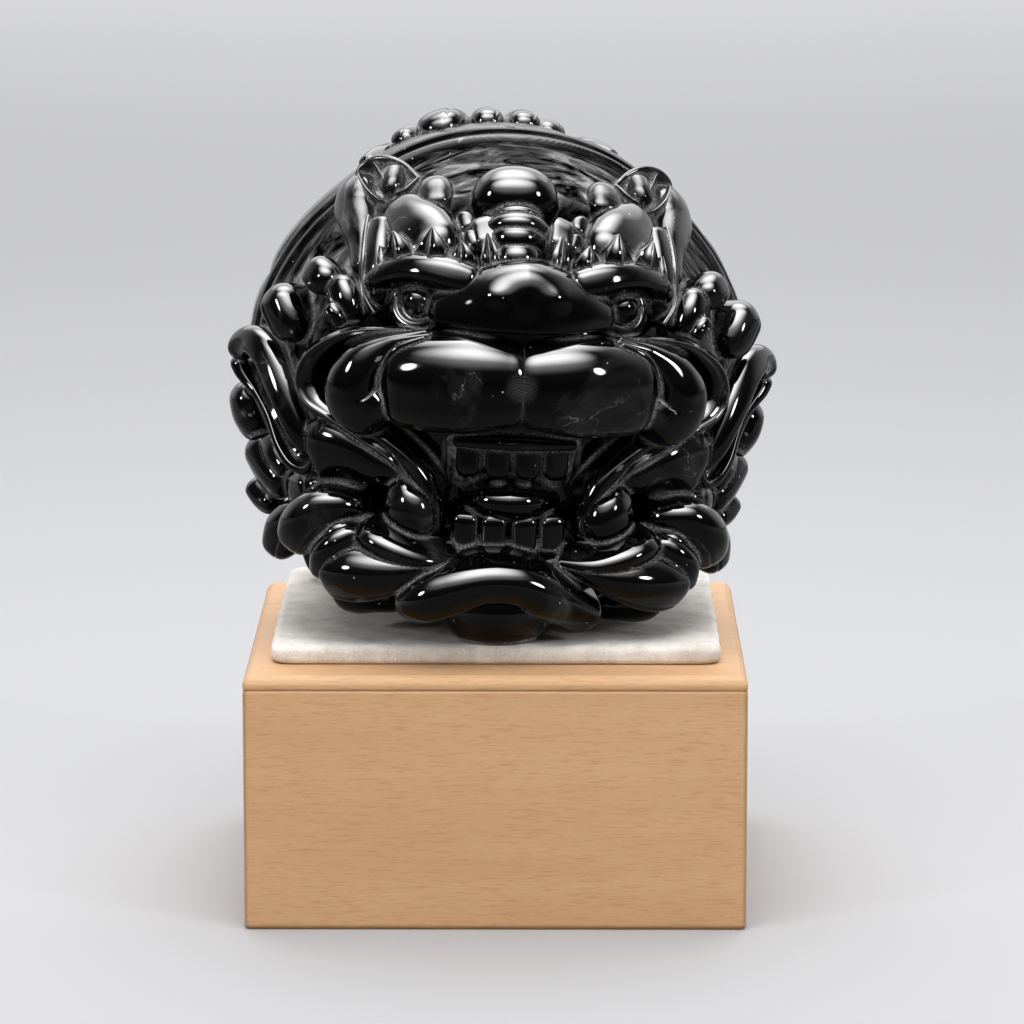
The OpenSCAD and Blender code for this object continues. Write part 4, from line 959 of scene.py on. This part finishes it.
def padSurface(around=360, underRows=40, edgeRows=21, topRows=60):
    # rounded-square rings out from the middle of the underside, over the edge and in to the middle of the top
    a = np.linspace(0, 2 * np.pi, around + 1)[:-1]
    c, s = np.cos(a), np.sin(a)
    square = np.maximum(np.abs(c), np.abs(s))
    halfSize = np.array([padSet["width"], padSet["depth"]]) / 2
    edge = np.stack([c / square, s / square], -1) * halfSize
    inner = halfSize - padSet["corner"]
    core = np.clip(edge, -inner, inner)
    outline = core + padSet["corner"] * unit(edge - core + 1e-9)
    turn = np.linspace(-np.pi / 2, np.pi / 2, edgeRows)
    r, thick, middle = padSet["round"], padSet["thick"], padSet["middle"]
    under, top = np.linspace(middle, r + 1, underRows), np.linspace(r + 1, middle, topRows)
    inset = np.concatenate([under, r - r * np.cos(turn), top])
    rounded = np.where(turn < 0, r + r * np.sin(turn), thick - r + r * np.sin(turn))
    height = np.concatenate([np.zeros(underRows), rounded, np.full(topRows, thick)])
    shrink = 1 - inset[:, None] / halfSize
    flat = outline[None] * shrink[:, None]
    z = np.broadcast_to(height[:, None], flat.shape[:2])
    x, y = flat[..., 0], flat[..., 1]
    turnX, bendY, turnY = padSet["waveTurn"]
    wave = padSet["wave"] * np.sin(x * turnX + np.sin(y * bendY)) * np.sin(y * turnY + padSet["waveStart"])
    turnX, turnY = padSet["rippleTurn"]
    wave = wave + padSet["ripple"] * np.sin(x * turnX + y * turnY)
    lift = np.clip(height / thick, 0, 1)[:, None]
    fray = padSet["fray"] * np.sin(a * padSet["frayTurns"])[None] * lift
    level = padSet["base"] + z - padSet["sunk"] * lift + wave * lift
    grid = np.stack([x + fray, y + padSet["back"], level], -1)
    ends = (padSet["base"], padSet["base"] + thick - padSet["sunk"])
    poles = np.array([[0, padSet["back"], end] for end in ends])
    return dict(grid=grid, poles=poles, flow=np.zeros(grid.shape))


feltSet = dict(dark=(0.72, 0.665, 0.6, 1), light=(0.98, 0.935, 0.88, 1), bump=0.6, bumpDeep=0.0008,
               shader={"Roughness": 0.95, "Specular IOR Level": 0.15, "Sheen Weight": 0.35,
                       "Sheen Roughness": 0.6},
               fine=dict(Scale=1100.0, Detail=3.0, Roughness=0.6, Distortion=4.0),
               broad=dict(Scale=130.0, Detail=5.0, Roughness=0.6))
feltPad = closedMesh("feltPad", [padSurface()], place=lambda p: p / 1000)
feltMat, feltTree, feltShader = newMaterial("woolFelt")
for key, value in feltSet["shader"].items():
    feltShader.inputs[key].default_value = value
feltCoord = addNode(feltTree, "ShaderNodeTexCoord")
feltHeight = addNode(feltTree, "ShaderNodeMath", operation="ADD")
for grain, socket in zip(("fine", "broad"), feltHeight.inputs):
    texture = addNode(feltTree, "ShaderNodeTexNoise", **feltSet[grain])
    link(feltCoord.outputs["Object"], texture.inputs["Vector"])
    link(texture.outputs["Fac"], socket)
feltHalf = addNode(feltTree, "ShaderNodeMath", operation="MULTIPLY")
feltHalf.inputs[1].default_value = 0.5
link(feltHeight.outputs[0], feltHalf.inputs[0])
feltTone = addRamp(feltTree, feltHalf.outputs[0], [(0.42, feltSet["dark"]), (0.56, feltSet["light"])])
link(feltTone, feltShader.inputs["Base Color"])
feltBump = addNode(feltTree, "ShaderNodeBump", Strength=feltSet["bump"], Distance=feltSet["bumpDeep"])
link(feltHeight.outputs[0], feltBump.inputs["Height"])
link(feltBump.outputs["Normal"], feltShader.inputs["Normal"])
feltPad.data.materials.append(feltMat)
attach(feltPad, "lid")
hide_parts("felt_pad")
print("pad made")
